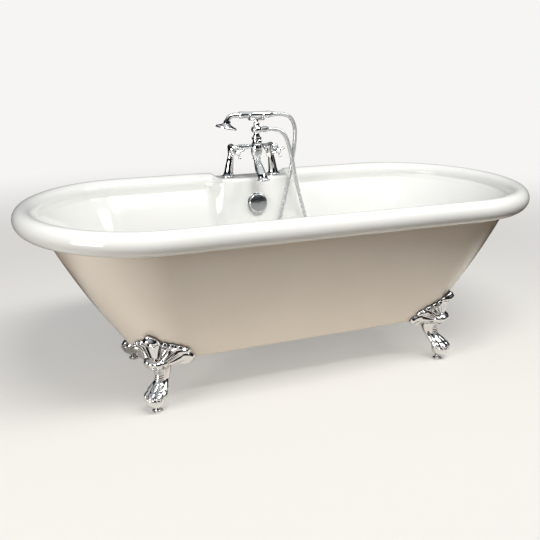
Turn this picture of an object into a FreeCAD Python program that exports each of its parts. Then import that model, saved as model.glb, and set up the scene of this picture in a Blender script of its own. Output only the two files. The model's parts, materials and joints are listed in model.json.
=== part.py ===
import FreeCAD, Part
import math
import os

import Sketcher
from FreeCAD import Placement, Rotation, Vector

# Clawfoot bath with a rolled rim, a tap deck at the middle of its far side, a
# deck mixer with a hand shower, and a pop-up waste worked by the overflow knob.
#
# Millimetres. The origin is on the floor under the middle of the bath, X runs
# along the bath, Y points to the tap side and Z is up.

# Every driving size. Each is written once here and copied to the sheet.
SIZES = {
    # bath, overall
    "tub_length": 1700.0,
    "tub_width": 830.0,
    "rim_height": 610.5,
    "roll_radius": 33.0,
    "end_reach": 372.0,
    # bath, outer face of the body
    "body_bottom": 150.0,
    "throat_drop": 54.5,
    "end_lip": 72.0,
    "side_lip": 57.0,
    "end_rake": 234.0,
    "side_rake": 175.0,
    "bottom_end": 129.0,
    "end_bulge": 14.5,
    "side_bulge": 12.0,
    # bath, walls and floor
    "shell_wall": 5.0,
    "skin_wall": 3.5,
    "wall_depth": 28.0,
    "throat_depth": 9.2,
    "deep_below": 110.0,
    "floor_round": 70.0,
    "board_thick": 21.5,
    "board_margin": 16.0,
    # tap deck and the panel below it
    "deck_drop": 13.5,
    "deck_depth": 118.0,
    "deck_flat": 244.0,
    "deck_slope": 35.0,
    "panel_width": 320.0,
    "panel_round": 40.0,
    "panel_lean": 10.0,
    "panel_drop": 252.0,
    "recess_drop": 157.0,
    # feet
    "foot_inset": 40.0,
    "foot_outset": 15.0,
    "foot_angle": 45.0,
    "ball_radius": 29.0,
    "ball_height": 44.0,
    "toe_radius": 8.0,
    "ankle_radius": 17.0,
    "knee_radius": 40.0,
    "knee_rise": 40.0,
    "crest_thick": 9.0,
    "crest_half_width": 90.0,
    "crest_rise": 98.0,
    "lug_length": 64.0,
    "lug_width": 62.0,
    "lug_thick": 12.0,
    "foot_bolt": 8.0,
    "foot_bolt_pitch": 34.0,
    "leveller_stud": 10.0,
    "leveller_pad": 32.0,
    "leveller_pad_thick": 9.0,
    "leveller_reach": 34.0,
    # waste and overflow
    "waste_y": 60.0,
    "waste_hole": 52.0,
    "waste_flange": 70.0,
    "plug_width": 62.0,
    "waste_body": 48.0,
    "waste_drop": 62.0,
    "outlet_socket": 41.6,
    "socket_depth": 16.0,
    "overflow_drop": 104.5,
    "overflow_hole": 54.0,
    "overflow_plate": 78.0,
    "overflow_knob": 70.0,
    "overflow_pipe": 32.0,
    "overflow_reach": 58.0,
    # mixer
    "pillar_spacing": 180.0,
    "tap_setback": 70.0,
    "pillar_base": 48.0,
    "pillar_neck": 21.0,
    "pillar_height": 106.0,
    "pillar_lean": 13.0,
    "tail_thread": 26.4,
    "tail_length": 52.0,
    "tail_spigot": 24.8,
    "spigot_length": 22.0,
    "tail_bore": 15.0,
    "body_forward": 62.0,
    "body_rise": 112.0,
    "body_radius": 20.0,
    "valve_radius": 13.0,
    "valve_length": 60.0,
    "valve_tilt": 7.0,
    "arm_radius": 9.0,
    "stem_radius": 5.0,
    "handle_hub": 9.0,
    "handle_span": 54.0,
    "handle_ball": 5.5,
    "riser_radius": 11.0,
    "outlet_height": 175.0,
    "outlet_reach": 44.0,
    "cradle_height": 227.0,
    "grip_radius": 12.0,
    "grip_length": 118.0,
    "rose_radius": 37.0,
    "rose_reach": 110.0,
    "hose_width": 14.0,
    "hose_nut": 21.0,
    # fits
    "running_fit": 0.05,
    "clearance": 0.3,
}

doc = FreeCAD.newDocument("clawfoot_bath")
sheet = doc.addObject("Spreadsheet::Sheet", "Sizes")
for row, (alias, value) in enumerate(SIZES.items(), start=1):
    sheet.set(f"A{row}", alias)
    sheet.set(f"B{row}", str(value))
    sheet.setAlias(f"B{row}", alias)
doc.recompute()


class Size:
    """A length that knows its number and the sheet formula that gives it."""

    def __init__(self, value, formula):
        self.value = float(value)
        self.formula = formula

    def __float__(self):
        return self.value

    def __add__(self, other):
        other = as_size(other)
        return Size(self.value + other.value, f"({self.formula} + {other.formula})")

    def __radd__(self, other):
        return as_size(other) + self

    def __sub__(self, other):
        other = as_size(other)
        return Size(self.value - other.value, f"({self.formula} - {other.formula})")

    def __rsub__(self, other):
        return as_size(other) - self

    def __mul__(self, other):
        other = as_size(other)
        return Size(self.value * other.value, f"({self.formula} * {other.formula})")

    def __rmul__(self, other):
        return as_size(other) * self

    def __truediv__(self, other):
        other = as_size(other)
        return Size(self.value / other.value, f"({self.formula} / {other.formula})")

    def __neg__(self):
        return as_size(0) - self


def as_size(thing):
    """A plain number as a Size; a Size as it is."""
    if isinstance(thing, Size):
        return thing
    return Size(thing, f"({float(thing):.6f})")


class Sheet:
    """The sizes by name."""


s = Sheet()
for alias, value in SIZES.items():
    setattr(s, alias, Size(value, f"Sizes.{alias}"))

pieces = {}


def keep(label, piece):
    """Note a finished sub-part under its file name."""
    piece.Label = label
    pieces[label] = piece
    return piece


def place(piece, at=(0, 0, 0), turn=None):
    """Put a piece at a point of the sheet's sizes, turned by a Rotation."""
    spot = [as_size(part) for part in at]
    rotation = turn if turn is not None else Rotation()
    piece.Placement = Placement(Vector(*[part.value for part in spot]), rotation)
    for axis, part in zip("xyz", spot):
        if "Sizes." in part.formula:
            piece.setExpression(f"Placement.Base.{axis}", part.formula)
    return piece


def aim(direction):
    """The rotation that takes +Z to a direction."""
    return Rotation(Vector(0, 0, 1), Vector(*direction))


def cap(across, rise):
    """The radius of a dome that rises over a distance across, centred on the axis."""
    across, rise = as_size(across), as_size(rise)
    return (across * across + rise * rise) / (rise * 2)


def new_sketch(body, plane, lift=0, name="outline"):
    """A sketch on one of the body's own origin planes, lifted along its normal."""
    sketch = body.newObject("Sketcher::SketchObject", f"{body.Name}_{name}")
    face = [part for part in body.Origin.OriginFeatures if part.Role == plane][0]
    sketch.AttachmentSupport = [(face, "")]
    sketch.MapMode = "FlatFace"
    lift = as_size(lift)
    sketch.AttachmentOffset = Placement(Vector(0, 0, lift.value), Rotation())
    if "Sizes." in lift.formula:
        sketch.setExpression("AttachmentOffset.Base.z", lift.formula)
    return sketch


def pin_point(sketch, geometry, end, point):
    """Hold one end of an edge at a point given by sizes."""
    for kind, axis, part in (("DistanceX", -2, point[0]), ("DistanceY", -1, point[1])):
        part = as_size(part)
        if abs(part.value) < 1e-9:
            sketch.addConstraint(Sketcher.Constraint("PointOnObject", geometry, end, axis))
            continue
        number = sketch.addConstraint(
            Sketcher.Constraint(kind, -1, 1, geometry, end, part.value)
        )
        if "Sizes." in part.formula:
            sketch.renameConstraint(number, f"{kind}_{number}")
            sketch.setExpression(f"Constraints.{kind}_{number}", part.formula)


def draw(sketch, points, closed=True):
    """Join points by edges. A third entry is the radius of the arc that leads to
    the point: positive bulges to the left of travel, negative to the right."""
    flat = [Vector(float(p[0]), float(p[1]), 0) for p in points]
    count = len(points)
    ends = []
    for i in range(0 if closed else 1, count):
        start, stop = flat[i - 1], flat[i]
        if len(points[i]) == 2:
            number = sketch.addGeometry(Part.LineSegment(start, stop), False)
            ends.append((number, 1, 2))
        else:
            radius = as_size(points[i][2])
            chord = stop - start
            half = chord.Length / 2
            side = 1 if radius.value > 0 else -1
            across = Vector(-chord.y, chord.x, 0).normalize()
            rise = math.sqrt(max(radius.value ** 2 - half ** 2, 0.0))
            centre = (start + stop) / 2 - across * (side * rise)
            circle = Part.Circle(centre, Vector(0, 0, 1), abs(radius.value))
            first, last = (start, stop) if side < 0 else (stop, start)
            angles = [math.atan2(p.y - centre.y, p.x - centre.x) for p in (first, last)]
            number = sketch.addGeometry(Part.ArcOfCircle(circle, *angles), False)
            ends.append((number, 1, 2) if side < 0 else (number, 2, 1))
            size = radius if side > 0 else -radius
            rule = sketch.addConstraint(Sketcher.Constraint("Radius", number, size.value))
            if "Sizes." in size.formula:
                sketch.renameConstraint(rule, f"radius_{rule}")
                sketch.setExpression(f"Constraints.radius_{rule}", size.formula)
    for i, (number, start, stop) in enumerate(ends):
        pin_point(sketch, number, stop, points[i if closed else i + 1])
        if closed or i:
            before = ends[i - 1]
            sketch.addConstraint(
                Sketcher.Constraint("Coincident", before[0], before[2], number, start)
            )
        else:
            pin_point(sketch, number, start, points[0])
    return sketch


def draw_circle(sketch, radius, centre=(0, 0)):
    """A circle with its radius and centre held by sizes."""
    radius = as_size(radius)
    middle = Vector(float(centre[0]), float(centre[1]), 0)
    number = sketch.addGeometry(Part.Circle(middle, Vector(0, 0, 1), radius.value), False)
    rule = sketch.addConstraint(Sketcher.Constraint("Radius", number, radius.value))
    if "Sizes." in radius.formula:
        sketch.renameConstraint(rule, f"radius_{rule}")
        sketch.setExpression(f"Constraints.radius_{rule}", radius.formula)
    pin_point(sketch, number, 3, centre)
    return sketch


def new_body(name):
    return doc.addObject("PartDesign::Body", name)


def turned(name, profile, at=(0, 0, 0), turn=None):
    """A piece turned about its own Z axis from a profile of (radius, height)."""
    body = new_body(name)
    sketch = draw(new_sketch(body, "XZ_Plane"), profile)
    feature = body.newObject("PartDesign::Revolution", f"{name}_turned")
    feature.Profile = sketch
    feature.ReferenceAxis = (sketch, ["V_Axis"])
    feature.Angle = 360
    return place(body, at, turn)


def pad(body, sketch, length, both_ways=False):
    feature = body.newObject("PartDesign::Pad", f"{body.Name}_pad")
    feature.Profile = sketch
    length = as_size(length)
    feature.Length = length.value
    if "Sizes." in length.formula:
        feature.setExpression("Length", length.formula)
    feature.Midplane = both_ways
    return feature


def padded(name, outline, length, plane="XY_Plane", both_ways=False, at=(0, 0, 0), turn=None):
    """A piece padded from a closed outline."""
    body = new_body(name)
    pad(body, draw(new_sketch(body, plane), outline), length, both_ways)
    return place(body, at, turn)


def bar(name, radius, length, at=(0, 0, 0), turn=None):
    """A round bar along its own Z axis."""
    piece = doc.addObject("Part::Cylinder", name)
    for key, size in (("Radius", as_size(radius)), ("Height", as_size(length))):
        setattr(piece, key, size.value)
        if "Sizes." in size.formula:
            piece.setExpression(key, size.formula)
    return place(piece, at, turn)


def ball(name, radius, at=(0, 0, 0)):
    piece = doc.addObject("Part::Sphere", name)
    radius = as_size(radius)
    piece.Radius = radius.value
    if "Sizes." in radius.formula:
        piece.setExpression("Radius", radius.formula)
    return place(piece, at)


def fuse(name, shapes):
    piece = doc.addObject("Part::MultiFuse", name)
    piece.Shapes = shapes
    piece.Refine = False
    return piece


def cut(name, base, tool):
    piece = doc.addObject("Part::Cut", name)
    piece.Base = base
    piece.Tool = tool
    piece.Refine = False
    return piece


def common(name, shapes):
    piece = doc.addObject("Part::MultiCommon", name)
    piece.Shapes = shapes
    piece.Refine = False
    return piece


def mirrored(name, source, normal):
    piece = doc.addObject("Part::Mirroring", name)
    piece.Source = source
    piece.Normal = Vector(*normal)
    return piece


# ---------------------------------------------------------------- shared places
floor_height = s.body_bottom + s.skin_wall + s.board_thick + s.shell_wall
roll_height = s.rim_height - s.roll_radius
roll_length = s.tub_length / 2 - s.roll_radius
roll_width = s.tub_width / 2 - s.roll_radius
rim_straight = s.tub_length - s.end_reach * 2
roll_straight = rim_straight / 2
body_top = s.rim_height - s.throat_drop
throat_length = s.tub_length - s.end_lip * 2
throat_width = s.tub_width - s.side_lip * 2
bottom_length = throat_length - s.end_rake * 2
bottom_width = throat_width - s.side_rake * 2
bottom_straight = bottom_length - s.bottom_end * 2
deck_top = s.rim_height - s.deck_drop
panel_foot = deck_top - s.panel_drop
recess_floor = deck_top - s.recess_drop
deck_front = s.tub_width / 2 - s.deck_depth
tap_y = s.tub_width / 2 - s.tap_setback
lean = math.tan(math.radians(s.panel_lean.value))


def panel_y(height):
    """The face of the panel below the deck, which leans into the basin."""
    return deck_front - (deck_top - height) * lean


# ---------------------------------------------------------------- the bath's form
# The body is a stack of plans. Each plan has straight sides and half-ellipse
# ends, so three numbers describe it: half length, half width and half straight.

def mix(low, high, t):
    return low + (high - low) * t


def body_plan(height, inset=0.0):
    """Half length, half width and half straight of the outer face at a height."""
    t = (height - s.body_bottom.value) / (body_top.value - s.body_bottom.value)
    swell = 4 * t * (1 - t)
    length = mix(bottom_length.value, throat_length.value, t) / 2
    width = mix(bottom_width.value, throat_width.value, t) / 2
    straight = mix(bottom_straight.value, rim_straight.value, t) / 2
    return (
        length + s.end_bulge.value * swell - inset,
        width + s.side_bulge.value * swell - inset,
        straight,
    )


def wall_inset(height):
    """Distance in plan from the outer face to the basin's face at a height."""
    t = (body_top.value - height) / s.deep_below.value
    t = min(max(t, 0.0), 1.0)
    return mix(s.throat_depth.value, s.wall_depth.value, t * (2 - t))


def basin_plan(height, grow=0.0):
    """The plan of the basin's face, grown outwards and downwards by a wall."""
    length, width, straight = body_plan(height, wall_inset(height) - grow)
    depth = s.floor_round.value + grow
    above = height - (floor_height.value - grow)
    if above < depth:
        corner = depth - math.sqrt(max(depth ** 2 - (depth - above) ** 2, 0.0))
        length -= corner
        width -= corner
    return length, width, min(straight, length - 0.35 * width)


def plan_edges(plan):
    """Two straight sides and two half-ellipse ends, as sketch geometry."""
    length, width, straight = plan
    end = length - straight
    edges = []
    for side in (1, -1):
        middle = Vector(side * straight, 0, 0)
        if width >= end:
            ellipse = Part.Ellipse(middle, width, end)
            ellipse.XAxis = Vector(0, 1, 0)
            start = math.pi if side > 0 else 0.0
        else:
            ellipse = Part.Ellipse(middle, end, width)
            start = -math.pi / 2 if side > 0 else math.pi / 2
        edges.append(Part.ArcOfEllipse(ellipse, start, start + math.pi))
    edges.append(Part.LineSegment(Vector(-straight, -width, 0), Vector(straight, -width, 0)))
    edges.append(Part.LineSegment(Vector(straight, width, 0), Vector(-straight, width, 0)))
    return edges


def plan_sketch(body, height, plan, name):
    sketch = new_sketch(body, "XY_Plane", height, name)
    for edge in plan_edges(plan):
        sketch.addGeometry(edge, False)
    return sketch


def stacked(name, heights, plan_at):
    """A body lofted through the plans at the given heights."""
    body = new_body(name)
    sketches = [
        plan_sketch(body, height, plan_at(height), f"plan{number}")
        for number, height in enumerate(heights)
    ]
    loft = body.newObject("PartDesign::AdditiveLoft", f"{name}_loft")
    loft.Profile = sketches[0]
    loft.Sections = sketches[1:]
    loft.Ruled = False
    return body


def spaced(low, high, shares):
    return [mix(low, high, share) for share in shares]


body_shares = (0.0, 0.14, 0.34, 0.56, 0.78, 1.0)
outer_heights = spaced(s.body_bottom.value, body_top.value, body_shares)


def basin_heights(grow, top):
    """Close together where the wall rounds into the floor, wider above."""
    low = floor_height.value - grow
    depth = s.floor_round.value + grow
    corner = [low + depth * share for share in (0.0, 0.1, 0.35, 0.75)]
    wall = spaced(low + depth * 1.3, body_top.value, (0.0, 0.3, 0.6, 0.82, 1.0))
    return corner + wall + [top]


def basin_top(plan_inset):
    """The plan where the wall runs into the rolled rim."""
    return (
        s.tub_length.value / 2 - 2 * s.roll_radius.value + plan_inset,
        s.tub_width.value / 2 - 2 * s.roll_radius.value + plan_inset,
        rim_straight.value / 2,
    )


join_height = roll_height + s.shell_wall / 2
join_lap = 0.8


def basin_at(grow):
    def plan_at(height):
        if height > body_top.value + 1e-6:
            return basin_top(join_lap + grow * 1.1)
        return basin_plan(height, grow)
    return plan_at


basin = stacked("basin_space", basin_heights(0.0, join_height.value), basin_at(0.0))
wall = s.shell_wall.value
shell_back = stacked("shell_back", basin_heights(wall, join_height.value), basin_at(wall))


def body_block(name, grow, heights=None):
    """The outer form of the body, grown by a margin in plan."""
    return stacked(name, heights or outer_heights, lambda height: body_plan(height, -grow))


# ---------------------------------------------------------------- bath shell
# The rolled rim is one hollow roll, swept round the plan of its centre line.
def quarter(x_side, y_side):
    """A quarter of the rim's end, from an ellipse about the end of the straight."""
    end = (roll_length - roll_straight).value
    wide = roll_width.value
    middle = Vector(x_side * roll_straight.value, 0, 0)
    if wide >= end:
        ellipse = Part.Ellipse(middle, wide, end)
        ellipse.XAxis = Vector(0, 1, 0)
        starts = {(1, -1): math.pi, (1, 1): 1.5 * math.pi, (-1, 1): 0.0, (-1, -1): 0.5 * math.pi}
    else:
        ellipse = Part.Ellipse(middle, end, wide)
        starts = {(1, -1): 1.5 * math.pi, (1, 1): 0.0, (-1, 1): 0.5 * math.pi, (-1, -1): math.pi}
    start = starts[(x_side, y_side)]
    return Part.ArcOfEllipse(ellipse, start, start + math.pi / 2)


def side_line(x_from, x_to, y_side):
    """Part of a straight side of the rim."""
    y = y_side * roll_width.value
    return Part.LineSegment(Vector(x_from, y, 0), Vector(x_to, y, 0))


def swept_round_rim(name, draw_section):
    """A body swept once round the plan of the roll's centre line."""
    body = new_body(name)
    path = new_sketch(body, "XY_Plane", roll_height, "path")
    straight_end = roll_straight.value
    path_edges = [
        side_line(0, straight_end, -1),
        quarter(1, -1),
        quarter(1, 1),
        side_line(straight_end, -straight_end, 1),
        quarter(-1, 1),
        quarter(-1, -1),
        side_line(-straight_end, 0, -1),
    ]
    for edge in path_edges:
        path.addGeometry(edge, False)
    section = draw_section(new_sketch(body, "YZ_Plane", 0, "section"))
    sweep = body.newObject("PartDesign::AdditivePipe", f"{name}_sweep")
    sweep.Profile = section
    sweep.Spine = (path, [f"Edge{number + 1}" for number in range(len(path_edges))])
    return body


def roll_section(sketch):
    """The open roll in section: a strip bent round from the basin's edge, over
    the top and down the outside, until it turns back under against the body."""
    outer = s.roll_radius
    inner = s.roll_radius - s.shell_wall
    begin, finish = math.radians(188), math.radians(-158)

    def spot(radius, angle):
        return (-roll_width - radius * math.cos(angle), roll_height + radius * math.sin(angle))

    top = math.radians(90)
    points = [
        spot(inner, begin),
        spot(outer, begin),
        spot(outer, top) + (-outer,),
        spot(outer, math.radians(-60)) + (-outer,),
        spot(outer, finish) + (-outer,),
        spot(inner, finish),
        spot(inner, math.radians(-60)) + (inner,),
        spot(inner, top) + (inner,),
    ]
    points[0] = points[0] + (inner,)
    return draw(sketch, points)


roll = swept_round_rim("rolled_rim", roll_section)

# The tap deck: a flat let into the roll, with the panel hung from its front edge.
mid_wall = s.roll_radius - s.shell_wall / 2
deck_reach = (mid_wall.value ** 2 - (deck_top - roll_height).value ** 2) ** 0.5
ledge = recess_floor - s.shell_wall


def face_width(height):
    return body_plan(float(height))[1]


def back_width(height):
    return basin_plan(float(height), wall / 2)[1]


panel_block = padded(
    "panel_block",
    [
        (panel_y(deck_top), deck_top),
        (panel_y(panel_foot), panel_foot),
        (back_width(panel_foot), panel_foot),
        (back_width(ledge), ledge),
        (face_width(ledge), ledge),
        (face_width(body_top), body_top),
        (roll_width, roll_height - mid_wall),
        (roll_width + deck_reach, deck_top, -mid_wall),
    ],
    s.panel_width,
    plane="YZ_Plane",
    both_ways=True,
)


def front_edges(shape, half_width, behind):
    """The two upright edges at the front corners of the panel or its recess."""
    names = []
    for number, edge in enumerate(shape.Edges, start=1):
        ends = [vertex.Point for vertex in edge.Vertexes]
        upright = abs(ends[0].z - ends[-1].z) > 80
        at_side = all(abs(abs(end.x) - half_width) < 0.01 for end in ends)
        in_front = all(abs(end.y - behind - float(panel_y(end.z))) < 0.01 for end in ends)
        if upright and at_side and in_front:
            names.append(f"Edge{number}")
    return names


def round_front(body, half_width, radius, behind=0.0):
    """Round the front corners of a block of the panel's form."""
    doc.recompute()
    tip = body.Tip
    fillet = body.newObject("PartDesign::Fillet", f"{body.Name}_corners")
    fillet.Base = (tip, front_edges(tip.Shape, float(half_width), float(behind)))
    fillet.Radius = radius.value
    fillet.setExpression("Radius", radius.formula)


round_front(panel_block, s.panel_width / 2, s.panel_round)

recess_half = s.panel_width / 2 - s.shell_wall
under_roll = roll_height - s.roll_radius - 3.5
outside = s.tub_width / 2 + 5
low_recess = padded(
    "low_recess",
    [
        (panel_y(under_roll) + s.shell_wall, under_roll),
        (panel_y(recess_floor) + s.shell_wall, recess_floor),
        (outside, recess_floor),
        (outside, under_roll),
    ],
    recess_half * 2,
    plane="YZ_Plane",
    both_ways=True,
)
round_front(low_recess, recess_half, s.panel_round - s.shell_wall, s.shell_wall)
under_deck = deck_top - s.shell_wall
hollow = s.roll_radius - s.shell_wall - 8
high_recess = padded(
    "high_recess",
    [
        (panel_y(under_deck) + s.shell_wall, under_deck),
        (panel_y(under_roll) + s.shell_wall, under_roll - 0.5),
        (roll_width, under_roll - 0.5),
        (roll_width, roll_height - hollow),
        (roll_width + hollow, roll_height - hollow / 2),
        (roll_width + hollow, under_deck),
    ],
    s.deck_flat - s.shell_wall * 2,
    plane="YZ_Plane",
    both_ways=True,
)
deck_length = s.deck_flat + s.deck_slope * 2
deck_ends = bar(
    "deck_ends",
    mid_wall,
    deck_length,
    at=(-deck_length / 2, roll_width, roll_height),
    turn=aim((1, 0, 0)),
)
deck_trim = padded(
    "deck_trim",
    [
        (-s.deck_flat / 2, deck_top),
        (s.deck_flat / 2, deck_top),
        (s.deck_flat / 2 + s.deck_slope * 1.4, deck_top + s.deck_drop * 1.4),
        (-s.deck_flat / 2 - s.deck_slope * 1.4, deck_top + s.deck_drop * 1.4),
    ],
    s.deck_depth + 40,
    plane="XZ_Plane",
    both_ways=True,
    at=(0, deck_front + s.deck_depth / 2, 0),
)

tap_hole = s.tail_thread / 2 + 1
tap_x = s.pillar_spacing / 2
tap_holes = [
    bar(f"tap_hole_{side}", tap_hole, 30, at=(x, tap_y, deck_top - 20))
    for side, x in (("left", -tap_x), ("right", tap_x))
]
overflow_z = s.rim_height - s.overflow_drop
tilt = math.radians(s.panel_lean.value)
inward = (0, -math.cos(tilt), math.sin(tilt))
outward = (0, math.cos(tilt), -math.sin(tilt))


def on_overflow_axis(distance):
    """A point on the overflow's axis, behind the panel's face."""
    return (0, panel_y(overflow_z) + distance * math.cos(tilt), overflow_z - distance * math.sin(tilt))


overflow_hole = bar(
    "overflow_hole", s.overflow_hole / 2, 60, at=on_overflow_axis(-30), turn=aim(outward)
)
waste_hole = bar("waste_hole", s.waste_hole / 2, 60, at=(0, s.waste_y, s.body_bottom - 10))
shell_solid = cut("shell_solid", shell_back, basin)
shell_sum = fuse("shell_sum", [shell_solid, roll, panel_block, deck_ends])
shell_holes = fuse(
    "shell_holes", [low_recess, high_recess, deck_trim, overflow_hole, waste_hole] + tap_holes
)
keep("bath_shell", cut("bath_shell", shell_sum, shell_holes))

# ---------------------------------------------------------------- where the feet bolt on
# A foot has its own X pointing outwards along foot_angle and its origin under the
# leveller. The front right foot is modelled and mirrored to the other corners.
foot_x = bottom_length / 2 - s.foot_inset
foot_y = bottom_width / 2 + s.foot_outset
foot_turn = Rotation(Vector(0, 0, 1), -s.foot_angle.value)


def at_foot(across, side=0.0):
    """Floor position of a point given outwards and sideways from the foot."""
    spot = foot_turn.multVec(Vector(float(across), float(side), 0))
    return (foot_x + spot.x, -foot_y + spot.y)


def bolt_spots():
    """The two bolts of a foot, through its lug into the base board."""
    middle = -s.lug_length / 2 - 52
    return [at_foot((middle + shift).value) for shift in (-s.foot_bolt_pitch / 2, s.foot_bolt_pitch / 2)]


bolt_z = s.body_bottom - s.lug_thick
bolt_reach = s.lug_thick + s.skin_wall + s.board_thick * 0.7
bolt_bores = fuse(
    "bolt_bores",
    [
        bar(
            f"bolt_bore_{number}",
            s.foot_bolt / 2 + s.clearance,
            bolt_reach + 6,
            at=spot + (bolt_z - 5,),
        )
        for number, spot in enumerate(bolt_spots())
    ],
)
bolt_bores_left = mirrored("bolt_bores_left", bolt_bores, (1, 0, 0))
all_bolt_bores = fuse(
    "all_bolt_bores",
    [
        bolt_bores,
        bolt_bores_left,
        mirrored("bolt_bores_back_right", bolt_bores, (0, 1, 0)),
        mirrored("bolt_bores_back_left", bolt_bores_left, (0, 1, 0)),
    ],
)

# ---------------------------------------------------------------- outer skin
# It runs up between the shell and the roll, and stops where it meets them.
skin_top = (roll_height - s.roll_radius * 0.2).value
skin_outer = body_block("skin_outer", 0.0, outer_heights + [skin_top])
inside_heights = [s.body_bottom.value + s.skin_wall.value] + outer_heights[1:] + [skin_top + 5]
skin_space = body_block("skin_space", -s.skin_wall.value, inside_heights)
shell_room = stacked(
    "shell_room",
    basin_heights(wall + s.clearance.value, join_height.value),
    basin_at(wall + s.clearance.value),
)


def roll_room_section(sketch):
    return draw_circle(sketch, s.roll_radius + s.clearance, (-roll_width, roll_height))


roll_room = swept_round_rim("roll_room", roll_room_section)
skin_window = padded(
    "skin_window",
    [
        (-s.panel_width / 2 - s.clearance, ledge - s.clearance),
        (s.panel_width / 2 + s.clearance, ledge - s.clearance),
        (s.panel_width / 2 + s.clearance, s.rim_height),
        (-s.panel_width / 2 - s.clearance, s.rim_height),
    ],
    s.tub_width / 2,
    plane="XZ_Plane",
    both_ways=True,
    at=(0, s.tub_width / 2, 0),
)
skin_solid = cut("skin_solid", skin_outer, skin_space)
skin_cuts = fuse("skin_cuts", [skin_window, waste_hole, all_bolt_bores, shell_room, roll_room])
keep("outer_skin", cut("outer_skin", skin_solid, skin_cuts))

# ---------------------------------------------------------------- base board
# A board laid between the skin's bottom and the shell's floor; it takes the feet.
board_z = s.body_bottom + s.skin_wall
floor_plan = basin_plan(floor_height.value - wall, wall)
board_plan = [value - s.board_margin.value for value in floor_plan[:2]] + [floor_plan[2]]
board_body = new_body("board_blank")
board_sketch = plan_sketch(board_body, board_z.value, board_plan, "plan")
pad(board_body, board_sketch, s.board_thick)
board_cuts = fuse("board_cuts", [waste_hole, all_bolt_bores])
keep("base_board", cut("base_board", board_body, board_cuts))

# ---------------------------------------------------------------- feet
# One cabriole foot: a loft from the ankle to the knee, a ball held by four clawed
# toes, a leaf crest against the bath and a lug under its floor.
def leg_section(body, height, across, deep, wide, number):
    sketch = new_sketch(body, "XY_Plane", height, f"level{number}")
    middle = Vector(across, 0, 0)
    if deep >= wide:
        sketch.addGeometry(Part.Ellipse(middle, deep, wide), False)
    else:
        ellipse = Part.Ellipse(middle, wide, deep)
        ellipse.XAxis = Vector(0, 1, 0)
        sketch.addGeometry(ellipse, False)
    return sketch


ankle = s.ankle_radius.value
knee = s.knee_radius.value
ball_top = (s.ball_height + s.ball_radius).value
knee_top = (s.body_bottom + s.knee_rise).value
leg = new_body("leg")
leg_levels = [
    (ball_top - 8, 2.0, ankle * 1.25, ankle * 1.4),
    (ball_top + 14, -14.0, ankle * 1.05, ankle * 1.05),
    (mix(ball_top, knee_top, 0.27), -28.0, ankle, ankle),
    (mix(ball_top, knee_top, 0.43), -35.0, ankle * 1.4, ankle * 1.3),
    (mix(ball_top, knee_top, 0.63), -24.0, ankle * 1.6, knee * 0.75),
    (mix(ball_top, knee_top, 0.85), 0.0, knee * 0.92, knee * 0.95),
    (knee_top + 6, 12.0, knee * 0.95, knee * 1.05),
    (knee_top + 22, 20.0, knee * 0.7, knee * 0.8),
]
leg_sketches = [leg_section(leg, *level, number) for number, level in enumerate(leg_levels)]
leg_loft = leg.newObject("PartDesign::AdditiveLoft", "leg_loft")
leg_loft.Profile = leg_sketches[0]
leg_loft.Sections = leg_sketches[1:]
place(leg, (foot_x, -foot_y, 0), foot_turn)

paw_centre = at_foot(5.0)
paw = ball("paw_ball", s.ball_radius, at=paw_centre + (s.ball_height,))


def toe(name, heading, sweep_angle):
    """A toe bent down over the ball, in the upright plane of its heading."""
    piece = doc.addObject("Part::Torus", name)
    piece.Radius1 = s.ball_radius.value + s.toe_radius.value * 0.35
    piece.Radius2 = s.toe_radius.value
    piece.setExpression("Radius1", (s.ball_radius + s.toe_radius * 0.35).formula)
    piece.setExpression("Radius2", s.toe_radius.formula)
    piece.Angle3 = sweep_angle
    start = Rotation(Vector(0, 0, 1), heading)
    upright = Rotation(Vector(1, 0, 0), 90)
    back = Rotation(Vector(0, 0, 1), 90 - sweep_angle)
    place(piece, paw_centre + (s.ball_height,), start * upright * back)
    return piece


def on_paw(heading, drop, radius):
    """A point on the ball at a heading and an angle below its middle."""
    turn = math.radians(heading)
    dip = math.radians(drop)
    reach = radius * math.cos(dip)
    return (
        paw_centre[0] + reach * math.cos(turn),
        paw_centre[1] + reach * math.sin(turn),
        s.ball_height - radius * math.sin(dip),
    )


toe_headings = [-s.foot_angle.value + spread for spread in (-62, 0, 62, 180)]
toe_line = s.ball_radius + s.toe_radius * 0.35
toe_parts = []
for number, heading in enumerate(toe_headings):
    toe_parts.append(toe(f"toe_{number}", heading, 118))
    toe_parts.append(
        ball(f"knuckle_{number}", s.toe_radius * 1.3, at=on_paw(heading, -25, toe_line))
    )
    claw = doc.addObject("Part::Cone", f"claw_{number}")
    claw.Radius1 = s.toe_radius.value * 0.95
    claw.Radius2 = s.toe_radius.value * 0.25
    claw.Height = s.toe_radius.value * 1.8
    claw.setExpression("Radius1", (s.toe_radius * 0.95).formula)
    claw.setExpression("Radius2", (s.toe_radius * 0.25).formula)
    claw.setExpression("Height", (s.toe_radius * 1.8).formula)
    side = Vector(math.cos(math.radians(heading)), math.sin(math.radians(heading)), 0)
    point_down = side * -math.sin(math.radians(34)) + Vector(0, 0, -math.cos(math.radians(34)))
    place(claw, on_paw(heading, 26, toe_line), aim(point_down))
    toe_parts.append(claw)

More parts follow.
